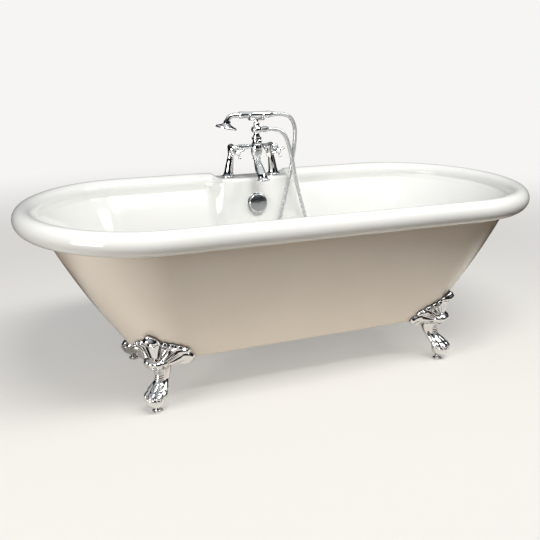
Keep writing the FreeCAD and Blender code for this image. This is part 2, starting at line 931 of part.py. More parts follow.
# The leaf crest lies on the bath: a leaf outline padded through the bath's side
# and kept only between two blocks of the bath's form.
half = s.crest_half_width
crest_low = s.body_bottom + s.knee_rise - 32
crest_top = s.body_bottom + s.crest_rise
crest_outline = [
    (half * 0.3, crest_low - 14),
    (half * 0.62, crest_low + 2),
    (half * 1.02, crest_low + 20, 26),
    (half * 0.72, crest_low + 42, 24),
    (half * 0.78, crest_low + 66, 22),
    (half * 0.36, crest_low + 66, 24),
    (half * 0.2, crest_top - 8, 20),
    (-half * 0.2, crest_top - 8, half * 0.22),
    (-half * 0.36, crest_low + 66, 20),
    (-half * 0.78, crest_low + 66, 24),
    (-half * 0.72, crest_low + 42, 22),
    (-half * 1.02, crest_low + 20, 24),
    (-half * 0.62, crest_low + 2, 26),
    (-half * 0.3, crest_low - 14),
]
crest_outline = [
    point if len(point) == 2 else (point[0], point[1], -as_size(point[2]))
    for point in crest_outline
]
crest_pad = padded(
    "crest_pad",
    crest_outline,
    260,
    plane="YZ_Plane",
    both_ways=True,
    at=(foot_x, -foot_y, 0),
    turn=foot_turn,
)
crest_limit = body_block("crest_limit", s.crest_thick.value)
crest = common("crest", [crest_pad, crest_limit])

lug = padded(
    "foot_lug",
    [
        (-s.lug_length - 46, -s.lug_width / 2),
        (-20, -s.lug_width / 2),
        (-20, s.lug_width / 2),
        (-s.lug_length - 46, s.lug_width / 2),
    ],
    s.lug_thick,
    at=(foot_x, -foot_y, s.body_bottom - s.lug_thick),
    turn=foot_turn,
)
foot_sum = fuse("foot_sum", [leg, paw, crest, lug] + toe_parts)
foot_space = body_block("foot_space", s.clearance.value)
stud_bore = bar(
    "stud_bore",
    s.leveller_stud / 2 + s.running_fit,
    s.leveller_reach + 2,
    at=(foot_x, -foot_y, 0),
)
foot_flat = bar("foot_flat", 60, s.leveller_pad_thick + 3, at=(foot_x, -foot_y, 0))


foot_cuts = fuse("foot_cuts", [foot_space, stud_bore, foot_flat, bolt_bores])
foot = keep("foot_front_right", cut("foot_front_right", foot_sum, foot_cuts))
foot_left = keep("foot_front_left", mirrored("foot_front_left", foot, (1, 0, 0)))
keep("foot_back_right", mirrored("foot_back_right", foot, (0, 1, 0)))
keep("foot_back_left", mirrored("foot_back_left", foot_left, (0, 1, 0)))

# Screwed levellers: a pad on the floor, a neck and a stud up into the ball.
corners = {
    "front_right": (1, -1),
    "front_left": (-1, -1),
    "back_right": (1, 1),
    "back_left": (-1, 1),
}
pad_radius = s.leveller_pad / 2
stud = s.leveller_stud / 2
for corner, (x_side, y_side) in corners.items():
    leveller = turned(
        f"leveller_{corner}",
        [
            (0, 0),
            (pad_radius - 1.5, 0),
            (pad_radius, 1.5, -1.5),
            (pad_radius, s.leveller_pad_thick * 0.45),
            (pad_radius * 0.62, s.leveller_pad_thick, 9),
            (stud, s.leveller_pad_thick),
            (stud, s.leveller_pad_thick + s.leveller_reach - 8),
            (0, s.leveller_pad_thick + s.leveller_reach - 8),
        ],
        at=(foot_x * x_side, foot_y * y_side, 0),
    )
    keep(f"leveller_{corner}", leveller)

# Foot bolts and the levellers' locknuts, each a group in one node.
bolt_head = s.foot_bolt * 0.95


def bolt(name, at):
    """A round-headed bolt standing up from the lug into the base board."""
    shank = s.foot_bolt / 2 - s.clearance / 2
    return turned(
        name,
        [
            (0, -s.foot_bolt * 0.6),
            (bolt_head * 0.6, -s.foot_bolt * 0.6),
            (bolt_head, -s.foot_bolt * 0.2, -s.foot_bolt * 0.45),
            (bolt_head, 0),
            (shank, 0),
            (shank, bolt_reach),
            (0, bolt_reach),
        ],
        at=at,
    )


front_bolts = [
    bolt(f"bolt_{number}", spot + (bolt_z,)) for number, spot in enumerate(bolt_spots())
]
right_bolts = fuse("right_bolts", front_bolts)
left_bolts = mirrored("left_bolts", right_bolts, (1, 0, 0))
back_right_bolts = mirrored("back_right_bolts", right_bolts, (0, 1, 0))
back_left_bolts = mirrored("back_left_bolts", left_bolts, (0, 1, 0))
keep("foot_bolts", fuse("foot_bolts", [right_bolts, left_bolts, back_right_bolts, back_left_bolts]))

# ---------------------------------------------------------------- waste
drain = (0, s.waste_y, 0)
waste_seat = floor_height
flange_radius = s.waste_flange / 2
spigot = s.waste_hole / 2 - s.clearance
throat = spigot - 3.0
under_skin = s.body_bottom
flange_cup = turned(
    "waste_cup",
    [
        (throat, waste_seat - 34),
        (spigot, waste_seat - 34),
        (spigot, waste_seat),
        (flange_radius, waste_seat),
        (flange_radius - 1.0, waste_seat + 2.2, -3),
        (spigot + 1.5, waste_seat + 3.2, -30),
        (throat, waste_seat - 1.0, -8),
    ],
    at=drain,
)
plug_stem = 4.0
guide_z = waste_seat - 30
guide_boss = turned(
    "guide_boss",
    [
        (plug_stem + s.running_fit, guide_z),
        (plug_stem + 3.0, guide_z),
        (plug_stem + 3.0, guide_z + 12),
        (plug_stem + s.running_fit, guide_z + 12),
    ],
    at=drain,
)
spokes = []
for number, angle in enumerate((0, 90, 180, 270)):
    spokes.append(
        padded(
            f"guide_spoke_{number}",
            [
                (plug_stem + 1.5, -1.5),
                (throat + 0.8, -1.5),
                (throat + 0.8, 1.5),
                (plug_stem + 1.5, 1.5),
            ],
            8,
            at=(0, s.waste_y, guide_z + 2),
            turn=Rotation(Vector(0, 0, 1), angle),
        )
    )
keep("waste_flange", fuse("waste_flange", [flange_cup, guide_boss] + spokes))

plug_radius = s.plug_width / 2
plug_low = waste_seat + 4.2
keep(
    "waste_plug",
    turned(
        "waste_plug",
        [
            (0, guide_z - 6),
            (plug_stem, guide_z - 6),
            (plug_stem, plug_low - 3),
            (throat - 3.5, plug_low - 3),
            (throat - 3.5, plug_low),
            (plug_radius, plug_low),
            (plug_radius, plug_low + 2),
            (0, plug_low + 8, -cap(plug_radius, 6)),
        ],
        at=drain,
    ),
)
keep(
    "plug_seal",
    turned(
        "plug_seal",
        [
            (throat - 3.5, plug_low - 3.0),
            (throat - 1.2, plug_low - 3.0),
            (throat - 0.6, plug_low),
            (throat - 3.5, plug_low),
        ],
        at=drain,
    ),
)
seal_thick = 3.0
keep(
    "waste_gasket",
    turned(
        "waste_gasket",
        [
            (spigot, under_skin - seal_thick),
            (flange_radius - 2, under_skin - seal_thick),
            (flange_radius - 2, under_skin),
            (spigot, under_skin),
        ],
        at=drain,
    ),
)
body_top_z = under_skin - seal_thick
body_low_z = under_skin - s.waste_drop
outer_body = s.waste_body / 2
inlet_z = body_top_z - s.overflow_pipe / 2 - 12
waste_shell = turned(
    "waste_shell",
    [
        (0, body_low_z),
        (outer_body, body_low_z),
        (outer_body, body_top_z - 9),
        (flange_radius - 2, body_top_z - 6),
        (flange_radius - 2, body_top_z),
        (0, body_top_z),
    ],
    at=drain,
)
outlet_socket = s.outlet_socket / 2
waste_bore = turned(
    "waste_bore",
    [
        (0, body_low_z - 1),
        (outlet_socket, body_low_z - 1),
        (outlet_socket, body_low_z + s.socket_depth),
        (outlet_socket - 1.2, body_low_z + s.socket_depth),
        (outlet_socket - 1.2, waste_seat - 36),
        (spigot + 0.1, waste_seat - 34.5),
        (spigot + 0.1, body_top_z + 1),
        (0, body_top_z + 1),
    ],
    at=drain,
)
pipe_radius = s.overflow_pipe / 2
socket = pipe_radius + 3.0
inlet_reach = outer_body + 18
inlet = bar("waste_inlet", socket, inlet_reach, at=(0, s.waste_y, inlet_z), turn=aim((0, 1, 0)))
inlet_bore = bar(
    "waste_inlet_bore",
    pipe_radius - 1.5,
    inlet_reach + 5,
    at=(0, s.waste_y, inlet_z),
    turn=aim((0, 1, 0)),
)
pipe_seat = inlet_reach - 12
inlet_seat = bar(
    "waste_inlet_seat",
    pipe_radius,
    20,
    at=(0, s.waste_y + pipe_seat, inlet_z),
    turn=aim((0, 1, 0)),
)
waste_sum = fuse("waste_sum", [waste_shell, inlet])
waste_cuts = fuse("waste_cuts", [waste_bore, inlet_bore, inlet_seat])
keep("waste_body", cut("waste_body", waste_sum, waste_cuts))

# ---------------------------------------------------------------- overflow
plate_radius = s.overflow_plate / 2
knob_radius = s.overflow_knob / 2
knob_stem = 5.0
plate_thick = 5.0
neck = s.overflow_hole / 2 - s.clearance
along_overflow = aim(outward)
panel_thick = s.shell_wall * math.cos(tilt)
keep(
    "overflow_plate",
    turned(
        "overflow_plate",
        [
            (knob_stem + s.running_fit, -plate_thick + 1),
            (knob_radius * 0.55, -plate_thick + 1),
            (knob_radius * 0.6, -plate_thick),
            (plate_radius - 2, -plate_thick),
            (plate_radius, -plate_thick + 2, -2),
            (plate_radius, 0),
            (neck, 0),
            (neck, panel_thick),
            (neck - 4, panel_thick),
            (neck - 4, -plate_thick + 4),
            (knob_stem + s.running_fit, -plate_thick + 4),
        ],
        at=on_overflow_axis(0),
        turn=along_overflow,
    ),
)
knob_back = -plate_thick - s.clearance
knob_front = knob_back - 13
keep(
    "overflow_knob",
    turned(
        "overflow_knob",
        [
            (0, knob_front - 3),
            (knob_radius - 5, knob_front, -cap(knob_radius - 5, 3)),
            (knob_radius, knob_front + 5, -5),
            (knob_radius, knob_back),
            (knob_stem, knob_back),
            (knob_stem, 22),
            (0, 22),
        ],
        at=on_overflow_axis(0),
        turn=along_overflow,
    ),
)
gasket_radius = neck + 9
keep(
    "overflow_gasket",
    turned(
        "overflow_gasket",
        [
            (neck, panel_thick),
            (gasket_radius, panel_thick),
            (gasket_radius, panel_thick + seal_thick),
            (neck, panel_thick + seal_thick),
        ],
        at=on_overflow_axis(0),
        turn=along_overflow,
    ),
)
cup_start = panel_thick + seal_thick
cup_end = cup_start + 24
elbow_at = s.overflow_reach.value
cup = turned(
    "overflow_cup",
    [
        (0, cup_start),
        (gasket_radius, cup_start),
        (gasket_radius, cup_end - 8),
        (socket, cup_end + 3, -14),
        (socket, elbow_at),
        (0, elbow_at),
    ],
    at=on_overflow_axis(0),
    turn=along_overflow,
)
cup_bore = turned(
    "overflow_cup_bore",
    [
        (0, cup_start - 1),
        (neck - 1, cup_start - 1),
        (neck - 1, cup_end - 9),
        (pipe_radius - 2, cup_end, -12),
        (pipe_radius - 2, elbow_at),
        (0, elbow_at),
    ],
    at=on_overflow_axis(0),
    turn=along_overflow,
)
elbow_spot = on_overflow_axis(elbow_at)
drop_end = overflow_z - 52
elbow_ball = ball("overflow_elbow", socket + 1.0, at=elbow_spot)
elbow_bore = ball("overflow_elbow_bore", pipe_radius - 1.2, at=elbow_spot)
drop_length = elbow_spot[2] - drop_end
drop = bar("overflow_drop_tube", socket, drop_length, at=(0, elbow_spot[1], drop_end))
drop_bore = bar("overflow_drop_bore", pipe_radius - 2, drop_length, at=(0, elbow_spot[1], drop_end - 1))
drop_seat = bar("overflow_drop_seat", pipe_radius, 13, at=(0, elbow_spot[1], drop_end - 1))
overflow_sum = fuse("overflow_sum", [cup, elbow_ball, drop])
overflow_cuts = fuse("overflow_cuts", [cup_bore, elbow_bore, drop_bore, drop_seat])
keep("overflow_body", cut("overflow_body", overflow_sum, overflow_cuts))

pipe = new_body("overflow_pipe")
pipe_path = new_sketch(pipe, "YZ_Plane", 0, "path")
pipe_bend = s.overflow_pipe * 1.4
pipe_top = drop_end + 12
pipe_y = elbow_spot[1]
pipe_end = s.waste_y + pipe_seat
draw(
    pipe_path,
    [
        (pipe_y, pipe_top),
        (pipe_y, inlet_z + pipe_bend),
        (pipe_y - pipe_bend, inlet_z, pipe_bend),
        (pipe_end, inlet_z),
    ],
    closed=False,
)
pipe_section = new_sketch(pipe, "XY_Plane", pipe_top, "section")
draw_circle(pipe_section, pipe_radius, (0, pipe_y))
draw_circle(pipe_section, pipe_radius - 1.5, (0, pipe_y))
pipe_sweep = pipe.newObject("PartDesign::AdditivePipe", "overflow_pipe_sweep")
pipe_sweep.Profile = pipe_section
pipe_sweep.Spine = (pipe_path, ["Edge1", "Edge2", "Edge3"])
keep("overflow_pipe", pipe)

# ---------------------------------------------------------------- mixer pillars
washer_thick = 2.0
pillar_foot = deck_top + washer_thick
valve_z = pillar_foot + s.pillar_height
base_radius = s.pillar_base / 2
neck_radius = s.pillar_neck / 2
thread = s.tail_thread / 2
spigot_end = s.tail_spigot / 2
valve_x = tap_x - s.pillar_lean
collar = s.valve_radius - 1
collar_z = valve_z - s.valve_radius - 3

trumpet = new_body("pillar_trumpet")
trumpet_length = collar_z - pillar_foot
trumpet_sketches = []
for number, (share, radius) in enumerate(
    (
        (0.035, base_radius - 3),
        (0.14, base_radius - 6.5),
        (0.38, mix(neck_radius, base_radius, 0.32)),
        (0.7, mix(neck_radius, base_radius, 0.1)),
        (1.0, neck_radius),
    )
):
    level = new_sketch(trumpet, "XY_Plane", pillar_foot + trumpet_length * share, f"ring{number}")
    trumpet_sketches.append(draw_circle(level, radius, (tap_x - s.pillar_lean * share, tap_y)))
trumpet_loft = trumpet.newObject("PartDesign::AdditiveLoft", "pillar_trumpet_loft")
trumpet_loft.Profile = trumpet_sketches[0]
trumpet_loft.Sections = trumpet_sketches[1:]
pillar_base = turned(
    "pillar_base",
    [
        (0, -s.tail_length),
        (spigot_end, -s.tail_length),
        (spigot_end, s.spigot_length - s.tail_length),
        (thread, s.spigot_length - s.tail_length),
        (thread, 0),
        (base_radius, 0),
        (base_radius, 2.2),
        (base_radius - 2.4, 4.6, -2.4),
        (0, 4.6),
    ],
    at=(tap_x, tap_y, pillar_foot),
)
pillar_collar = bar("pillar_collar", neck_radius + 1.6, 4, at=(valve_x, tap_y, collar_z - 4))
tail_bore = bar(
    "tail_bore", s.tail_bore / 2, s.tail_length, at=(tap_x, tap_y, pillar_foot - s.tail_length - 1)
)
pillar_sum = fuse("pillar_sum", [trumpet, pillar_base, pillar_collar])
pillar_cold = keep("pillar_cold", cut("pillar_cold", pillar_sum, tail_bore))
keep("pillar_hot", mirrored("pillar_hot", pillar_cold, (1, 0, 0)))


def on_both_taps(name, profile, z):
    """The same ring on both pillar tails, as one node of two solids."""
    rings = [
        turned(f"{name}_{side}", profile, at=(x, tap_y, z))
        for side, x in (("hot", -tap_x), ("cold", tap_x))
    ]
    return keep(name, fuse(name, rings))


on_both_taps(
    "pillar_washers",
    [
        (thread, 0),
        (base_radius - 1, 0),
        (base_radius - 1, washer_thick),
        (thread, washer_thick),
    ],
    deck_top,
)
nut_top = deck_top - s.shell_wall
on_both_taps(
    "pillar_backnuts",
    [(thread, -9), (thread + 6.5, -9), (thread + 6.5, -2.5), (thread + 7.5, 0), (thread, 0)],
    nut_top,
)

# ---------------------------------------------------------------- mixer body
body_y = tap_y - s.body_forward
body_z = deck_top + s.body_rise
valve_angle = math.radians(s.valve_tilt.value)
valve_way = (0, -math.cos(valve_angle), -math.sin(valve_angle))


def on_valve(x_side, distance):
    """A point on a valve's axis, counted forwards from the pillar."""
    return (
        valve_x * x_side,
        tap_y - distance * math.cos(valve_angle),
        valve_z - distance * math.sin(valve_angle),
    )


barrel_length = s.valve_length * 0.62
bonnet_depth = 10.0
mixer_parts = []
valve_bores = []
for side, x_side in (("hot", -1), ("cold", 1)):
    mixer_parts.append(
        turned(
            f"barrel_{side}",
            [
                (0, -s.valve_radius),
                (s.valve_radius, 0, -s.valve_radius),
                (s.valve_radius, barrel_length),
                (0, barrel_length),
            ],
            at=on_valve(x_side, 0),
            turn=aim(valve_way),
        )
    )
    valve_bores.append(
        bar(
            f"valve_bore_{side}",
            s.stem_radius + 3,
            bonnet_depth + 5,
            at=on_valve(x_side, barrel_length - bonnet_depth),
            turn=aim(valve_way),
        )
    )
    valve_bores.append(
        bar(
            f"bonnet_room_{side}",
            s.valve_radius + 2 + s.clearance,
            s.valve_length,
            at=on_valve(x_side, barrel_length),
            turn=aim(valve_way),
        )
    )
    mixer_parts.append(
        bar(f"union_{side}", collar, s.valve_radius + 3, at=(valve_x * x_side, tap_y, collar_z))
    )
    start = Vector(float(valve_x * x_side), float(tap_y - barrel_length * 0.62), float(valve_z))
    finish = Vector(6.0 * x_side, float(body_y), float(body_z) + 6)
    span = finish - start
    mixer_parts.append(
        turned(
            f"arm_{side}",
            [
                (0, 0),
                (s.arm_radius * 0.92, 0),
                (s.arm_radius * 1.12, span.Length * 0.28, 60),
                (s.arm_radius * 0.85, span.Length * 0.72, -160),
                (s.arm_radius, span.Length),
                (0, span.Length),
            ],
            at=(valve_x * x_side, tap_y - barrel_length * 0.62, valve_z),
            turn=aim(span),
        )
    )
column_low = body_z - 38
column_top = body_z + 42
column = turned(
    "mixer_column",
    [
        (0, column_low),
        (s.body_radius * 0.62, column_low),
        (s.body_radius * 0.68, column_low + 5),
        (s.body_radius * 0.9, column_low + 14, -14),
        (s.body_radius, body_z - 8, -40),
        (s.body_radius * 0.94, body_z + 10, -44),
        (s.riser_radius * 1.25, body_z + 26, 30),
        (s.riser_radius * 1.6, body_z + 30),
        (s.riser_radius * 1.6, body_z + 35),
        (s.riser_radius * 1.15, body_z + 38),
        (s.riser_radius * 1.15, column_top),
        (0, column_top),
    ],
    at=(0, body_y, 0),
)
diverter_z = body_z + 22
boss_reach = s.body_radius + 4
boss = bar("diverter_boss", 9.0, boss_reach, at=(0, body_y, diverter_z), turn=aim((0, -1, 0)))
boss_bore = bar(
    "diverter_bore",
    s.stem_radius - 1 + s.running_fit,
    14,
    at=(0, body_y - boss_reach + 13, diverter_z),
    turn=aim((0, -1, 0)),
)
mixer_sum = fuse("mixer_sum", mixer_parts + [column, boss])
mixer_bores = fuse("mixer_bores", valve_bores + [boss_bore])
keep("mixer_body", cut("mixer_body", mixer_sum, mixer_bores))

# Valve bonnets, cross handles with their spindles, and index buttons.
bonnet_start = barrel_length
bonnet_end = s.valve_length - 4
hub_start = bonnet_end + s.clearance
hub_end = hub_start + 30


def valve_piece(name, x_side, profile):
    return turned(name, profile, at=on_valve(x_side, 0), turn=aim(valve_way))


for side, x_side in (("hot", -1), ("cold", 1)):
    keep(
        f"bonnet_{side}",
        valve_piece(
            f"bonnet_{side}",
            x_side,
            [
                (s.stem_radius + s.running_fit, bonnet_start - bonnet_depth),
                (s.stem_radius + 3, bonnet_start - bonnet_depth),
                (s.stem_radius + 3, bonnet_start),
                (s.valve_radius + 2, bonnet_start),
                (s.valve_radius + 2, bonnet_start + 5),
                (s.valve_radius - 2, bonnet_start + 8),
                (s.stem_radius + 3, bonnet_end, 14),
                (s.stem_radius + s.running_fit, bonnet_end),
            ],
        ),
    )
    hub = valve_piece(
        f"hub_{side}",
        x_side,
        [
            (0, bonnet_start - bonnet_depth + s.clearance),
            (s.stem_radius, bonnet_start - bonnet_depth + s.clearance),
            (s.stem_radius, hub_start),
            (s.stem_radius + 2, hub_start),
            (s.handle_hub - 2, hub_start + 10, 18),
            (s.handle_hub + 1, hub_start + 15),
            (s.handle_hub + 1, hub_end - 4),
            (s.handle_hub - 1.5, hub_end, -5),
            (0, hub_end),
        ],
    )
    handle_parts = [hub]
    spoke_at = hub_end - 8
    upright = aim(valve_way)
    for number in range(4):
        turn = math.radians(22 + 90 * number)
        way = upright.multVec(Vector(math.cos(turn), math.sin(turn), 0))
        reach = s.handle_span / 2 - s.handle_ball
        centre = on_valve(x_side, spoke_at)
        handle_parts.append(
            turned(
                f"spoke_{side}_{number}",
                [
                    (0, 0),
                    (3.6, 0),
                    (2.6, reach * 0.75, 60),
                    (3.4, reach),
                    (0, reach),
                ],
                at=centre,
                turn=aim(way),
            )
        )
        tip = tuple(part + reach * value for part, value in zip(centre, way))
        handle_parts.append(ball(f"tip_{side}_{number}", s.handle_ball, at=tip))
    keep(f"handle_{side}", fuse(f"handle_{side}", handle_parts))
    keep(
        f"index_{side}",
        valve_piece(
            f"index_{side}",
            x_side,
            [
                (0, hub_end),
                (s.handle_hub - 2.2, hub_end),
                (s.handle_hub - 2.2, hub_end + 1.2),
                (0, hub_end + 3.2, -cap(s.handle_hub - 2.2, 2)),
            ],
        ),
    )

# Diverter lever on the front of the column, ending in a round knob.
lever_y = body_y - boss_reach - s.clearance
lever_turn = math.radians(-53)
lever_way = (math.cos(lever_turn), 0, math.sin(lever_turn))
lever_length = 50.0
lever_hub = turned(
    "lever_hub",
    [
        (0, -12),
        (s.stem_radius - 1, -12),
        (s.stem_radius - 1, 0),
        (9, 0),
        (9, 5),
        (6, 9, -5),
        (0, 10, -cap(6, 1)),
    ],
    at=(0, lever_y, diverter_z),
    turn=aim((0, -1, 0)),
)
lever_arm = turned(
    "lever_arm",
    [(0, 0), (4.2, 0), (2.8, lever_length * 0.7, 200), (3.6, lever_length), (0, lever_length)],
    at=(0, lever_y - 5, diverter_z),
    turn=aim(lever_way),
)
keep("diverter_lever", fuse("diverter_lever", [lever_hub, lever_arm]))
keep(
    "diverter_knob",
    turned(
        "diverter_knob",
        [(0, 0), (3.6, 0), (7.5, 5, -5), (7.5, 10, -6), (3.5, 15, -6), (0, 16, -cap(3.5, 1))],
        at=(lever_length * lever_way[0], lever_y - 5, diverter_z + lever_length * lever_way[2]),
        turn=aim(lever_way),
    ),
)

# Spout: rings along a curve that leaves the column downwards and comes forward.
spout = new_body("spout")
spout_start = (body_y, column_low)
spout_reach = 66.0
spout_drop = 66.0
spout_end = (body_y - spout_reach, column_low - spout_drop)
spout_sketches = []
for number, (share, radius) in enumerate(
    ((0.0, 11.5), (0.16, 12.0), (0.42, 15.0), (0.7, 16.8), (0.9, 17.2), (1.0, 17.6))
):
    y = spout_start[0] - spout_reach * share ** 1.25
    z = spout_start[1] - spout_drop * (1 - (1 - share) ** 1.05)
    slope = 38 * math.sin(math.pi * share * 0.92)
    level = spout.newObject("Sketcher::SketchObject", f"spout_ring{number}")
    face = [part for part in spout.Origin.OriginFeatures if part.Role == "XY_Plane"][0]
    level.AttachmentSupport = [(face, "")]
    level.MapMode = "FlatFace"
    level.AttachmentOffset = Placement(
        Vector(0, y.value, z.value), Rotation(Vector(1, 0, 0), -slope)
    )
    spout_sketches.append(draw_circle(level, radius))
spout_loft = spout.newObject("PartDesign::AdditiveLoft", "spout_loft")
spout_loft.Profile = spout_sketches[0]
spout_loft.Sections = spout_sketches[1:]
mouth_turn = Rotation(Vector(1, 0, 0), -12)
mouth = turned(
    "spout_mouth",
    [
        (0, -9),
        (21, -9),
        (24, -6, -3),
        (22.5, -1, -4),
        (17, 3, 8),
        (0, 3),
    ],
    at=(0, spout_end[0], spout_end[1]),
    turn=mouth_turn,
)
mouth_bore = turned(
    "spout_bore",
    [(0, -12), (14.5, -12), (14.5, 18), (0, 18)],
    at=(0, spout_end[0], spout_end[1]),
    turn=mouth_turn,
)
spout_ring = turned(
    "spout_ring",
    [(0, -5), (13.5, -5), (14.5, -2.5, -2.5), (13.5, 0, -2.5), (0, 0)],
    at=(0, body_y, column_low),
)
spout_sum = fuse("spout_sum", [spout, mouth, spout_ring])
keep("spout", cut("spout", spout_sum, mouth_bore))

# ---------------------------------------------------------------- riser and cradle
riser_low = column_top
outlet_z = deck_top + s.outlet_height
cradle_z = deck_top + s.cradle_height
riser_top = outlet_z + 17
keep(
    "riser",
    turned(
        "riser",
        [
            (0, riser_low),
            (s.riser_radius, riser_low),
            (s.riser_radius * 0.85, outlet_z - 13, 60),
            (s.riser_radius * 1.45, outlet_z - 9, 6),
            (s.riser_radius * 1.45, outlet_z + 9, -14),
            (s.riser_radius * 0.9, outlet_z + 13, 6),
            (s.riser_radius * 0.9, riser_top),
            (0, riser_top),
        ],
        at=(0, body_y, 0),
    ),
)
elbow_start = s.riser_radius * 1.45
nut_radius = s.hose_nut / 2
hose_radius = s.hose_width / 2
nut_length = 18.0
tube_end = s.outlet_reach - nut_length
outlet_stub = bar(
    "outlet_stub", 8.0, tube_end - 6, at=(6, body_y, outlet_z), turn=aim((1, 0, 0))
)
riser_form = pieces.pop("riser")
riser_form.Label = "riser_form"
keep("riser", fuse("riser_tube", [riser_form, outlet_stub]))
keep(
    "hose_nut_lower",
    turned(
        "hose_nut_lower",
        [
            (0, 0),
            (nut_radius, 0),
            (nut_radius, nut_length * 0.55),
            (hose_radius + 1.5, nut_length - 1.5),
            (hose_radius + 0.5, nut_length),
            (0, nut_length),
        ],
        at=(tube_end, body_y, outlet_z),
        turn=aim((1, 0, 0)),
    ),
)

# The cradle: a post, a cross bar and two open hooks that hold the handset.
hook_ring = s.grip_radius + 4.2
hook_wire = 3.4
post_top = cradle_z - hook_ring
post = turned(
    "cradle_post",
    [
        (0, riser_top),
        (s.riser_radius * 0.95, riser_top),
        (s.riser_radius * 0.95, riser_top + 5),
        (5.5, riser_top + 9, -5),
        (5.5, post_top),
        (0, post_top),
    ],
    at=(0, body_y, 0),
)
hook_apart = 26.0
cross_bar = bar("cradle_bar", 4.4, hook_apart * 2, at=(-hook_apart, body_y, post_top), turn=aim((1, 0, 0)))
hooks = []
for number, x in enumerate((-hook_apart, hook_apart)):
    hook = doc.addObject("Part::Torus", f"hook_{number}")
    hook.Radius1 = hook_ring.value
    hook.setExpression("Radius1", hook_ring.formula)
    hook.Radius2 = hook_wire
    hook.Angle3 = 200
    turn = aim((1, 0, 0)) * Rotation(Vector(0, 0, 1), -100)
    hooks.append(place(hook, (x, body_y, cradle_z), turn))
keep("cradle", fuse("cradle", [post, cross_bar] + hooks))

# ---------------------------------------------------------------- handset
# Its own Z runs along -X, from the hose end to the rose.
grip_start = 52.0
along_grip = aim((-1, 0, 0))
grip = s.grip_radius
grip_end = s.grip_length
handset_at = (grip_start, body_y, cradle_z)
keep(
    "handset_grip",
    turned(
        "handset_grip",
        [
            (0, 0),
            (grip - 3, 0),
            (grip, 5, -6),
            (grip, grip_end - 5, 900),
            (grip - 3, grip_end, -6),
            (0, grip_end),
        ],
        at=handset_at,
        turn=along_grip,
    ),
)
rose_tilt = math.radians(12)
rose_way = (-math.sin(rose_tilt), 0, -math.cos(rose_tilt))
rose_x = -s.rose_reach
rose_z = cradle_z - 26
neck_x = grip_start - grip_end
neck = new_body("handset_neck")
neck_path = new_sketch(neck, "XZ_Plane", 0, "path")
neck_bend = 26.0
draw(
    neck_path,
    [
        (neck_x, cradle_z),
        (rose_x + neck_bend, cradle_z),
        (rose_x, cradle_z - neck_bend, -neck_bend),
    ],
    closed=False,
)
neck_section = new_sketch(neck, "YZ_Plane", neck_x, "section")
draw_circle(neck_section, 8.4, (0, cradle_z))
neck_sweep = neck.newObject("PartDesign::AdditivePipe", "handset_neck_sweep")
neck_sweep.Profile = neck_section
neck_sweep.Spine = (neck_path, ["Edge1", "Edge2"])
place(neck, (0, body_y, 0))
rose = s.rose_radius
rose_cup = turned(
    "rose_cup",
    [
        (0, -8),
        (11.5, -8),
        (12.5, 2, -60),
        (rose - 5, 11, 60),
        (rose, 15, -7),
        (rose, 19),
        (rose - 2, 19),
        (rose - 2, 16),
        (0, 16),
    ],
    at=(rose_x, body_y, rose_z),
    turn=aim(rose_way),
)
keep("handset_rose", fuse("handset_rose", [neck, rose_cup]))
keep(
    "rose_face",
    turned(
        "rose_face",
        [(0, 16), (rose - 2, 16), (rose - 2, 18), (0, 20, -cap(rose - 2, 2))],
        at=(rose_x, body_y, rose_z),
        turn=aim(rose_way),
    ),
)
keep(
    "hose_nut_upper",
    turned(
        "hose_nut_upper",
        [
            (0, 0),
            (nut_radius - 1.5, 0),
            (nut_radius - 1.5, nut_length * 0.55),
            (hose_radius + 1.0, nut_length),
            (0, nut_length),
        ],
        at=(grip_start, body_y, cradle_z),
        turn=aim((1, 0, 0)),
    ),
)

# ---------------------------------------------------------------- hose
# Straight runs joined by arcs. The points are chosen along the hose as it hangs:
# down from the outlet nut, round a loop in the basin and up to the handset.
hose_points = [
    (s.outlet_reach.value, float(body_y), float(outlet_z)),
    (80.0, 283.0, 772.0),
    (109.0, 278.0, 751.0),
    (122.0, 272.0, 711.0),
    (132.0, 266.0, 660.0),
    (143.0, 261.0, 598.0),
    (162.0, 258.0, 522.0),
    (186.0, 252.0, 436.0),
    (208.0, 238.0, 362.0),
    (220.0, 214.0, 300.0),
    (204.0, 182.0, 246.0),
    (158.0, 160.0, 214.0),
    (98.0, 158.0, 211.0),
    (52.0, 176.0, 238.0),
    (38.0, 208.0, 296.0),
    (50.0, 236.0, 365.0),
    (76.0, 252.0, 434.0),
    (105.0, 268.0, 520.0),
    (129.0, 279.0, 600.0),
    (143.0, 284.0, 668.0),
    (151.0, 285.0, 730.0),
    (150.0, 284.0, 776.0),
    (134.0, 283.5, 810.0),
    (104.0, 283.0, float(cradle_z)),
    (grip_start + nut_length, float(body_y), float(cradle_z)),
]


def hose_path(points):
    """Runs joined by arcs, each arc as large as its two runs allow."""
    spots = [Vector(*point) for point in points]
    edges = []
    radii = []
    last = spots[0]
    for before, corner, after in zip(spots, spots[1:], spots[2:]):
        arrive = corner - before
        leave = after - corner
        shorter = min(arrive.Length, leave.Length)
        half_turn = arrive.getAngle(leave) / 2
        back = 0.45 * shorter
        radii.append(back / math.tan(half_turn))
        arrive.normalize()
        leave.normalize()
        start = corner - arrive * back
        finish = corner + leave * back
        inwards = (leave - arrive).normalize()
        middle = corner + inwards * (radii[-1] / math.cos(half_turn) - radii[-1])
        edges.append(Part.LineSegment(last, start).toShape())
        edges.append(Part.Arc(start, middle, finish).toShape())
        last = finish
    edges.append(Part.LineSegment(last, spots[-1]).toShape())
    return Part.Wire(edges), radii


hose_wire, hose_radii = hose_path(hose_points)
hose_end = Part.Wire([Part.makeCircle(hose_radius.value, Vector(*hose_points[0]), Vector(1, 0, 0))])
hose = doc.addObject("Part::Feature", "shower_hose")
hose.Shape = hose_wire.makePipeShell([hose_end], True, False)
keep("shower_hose", hose)

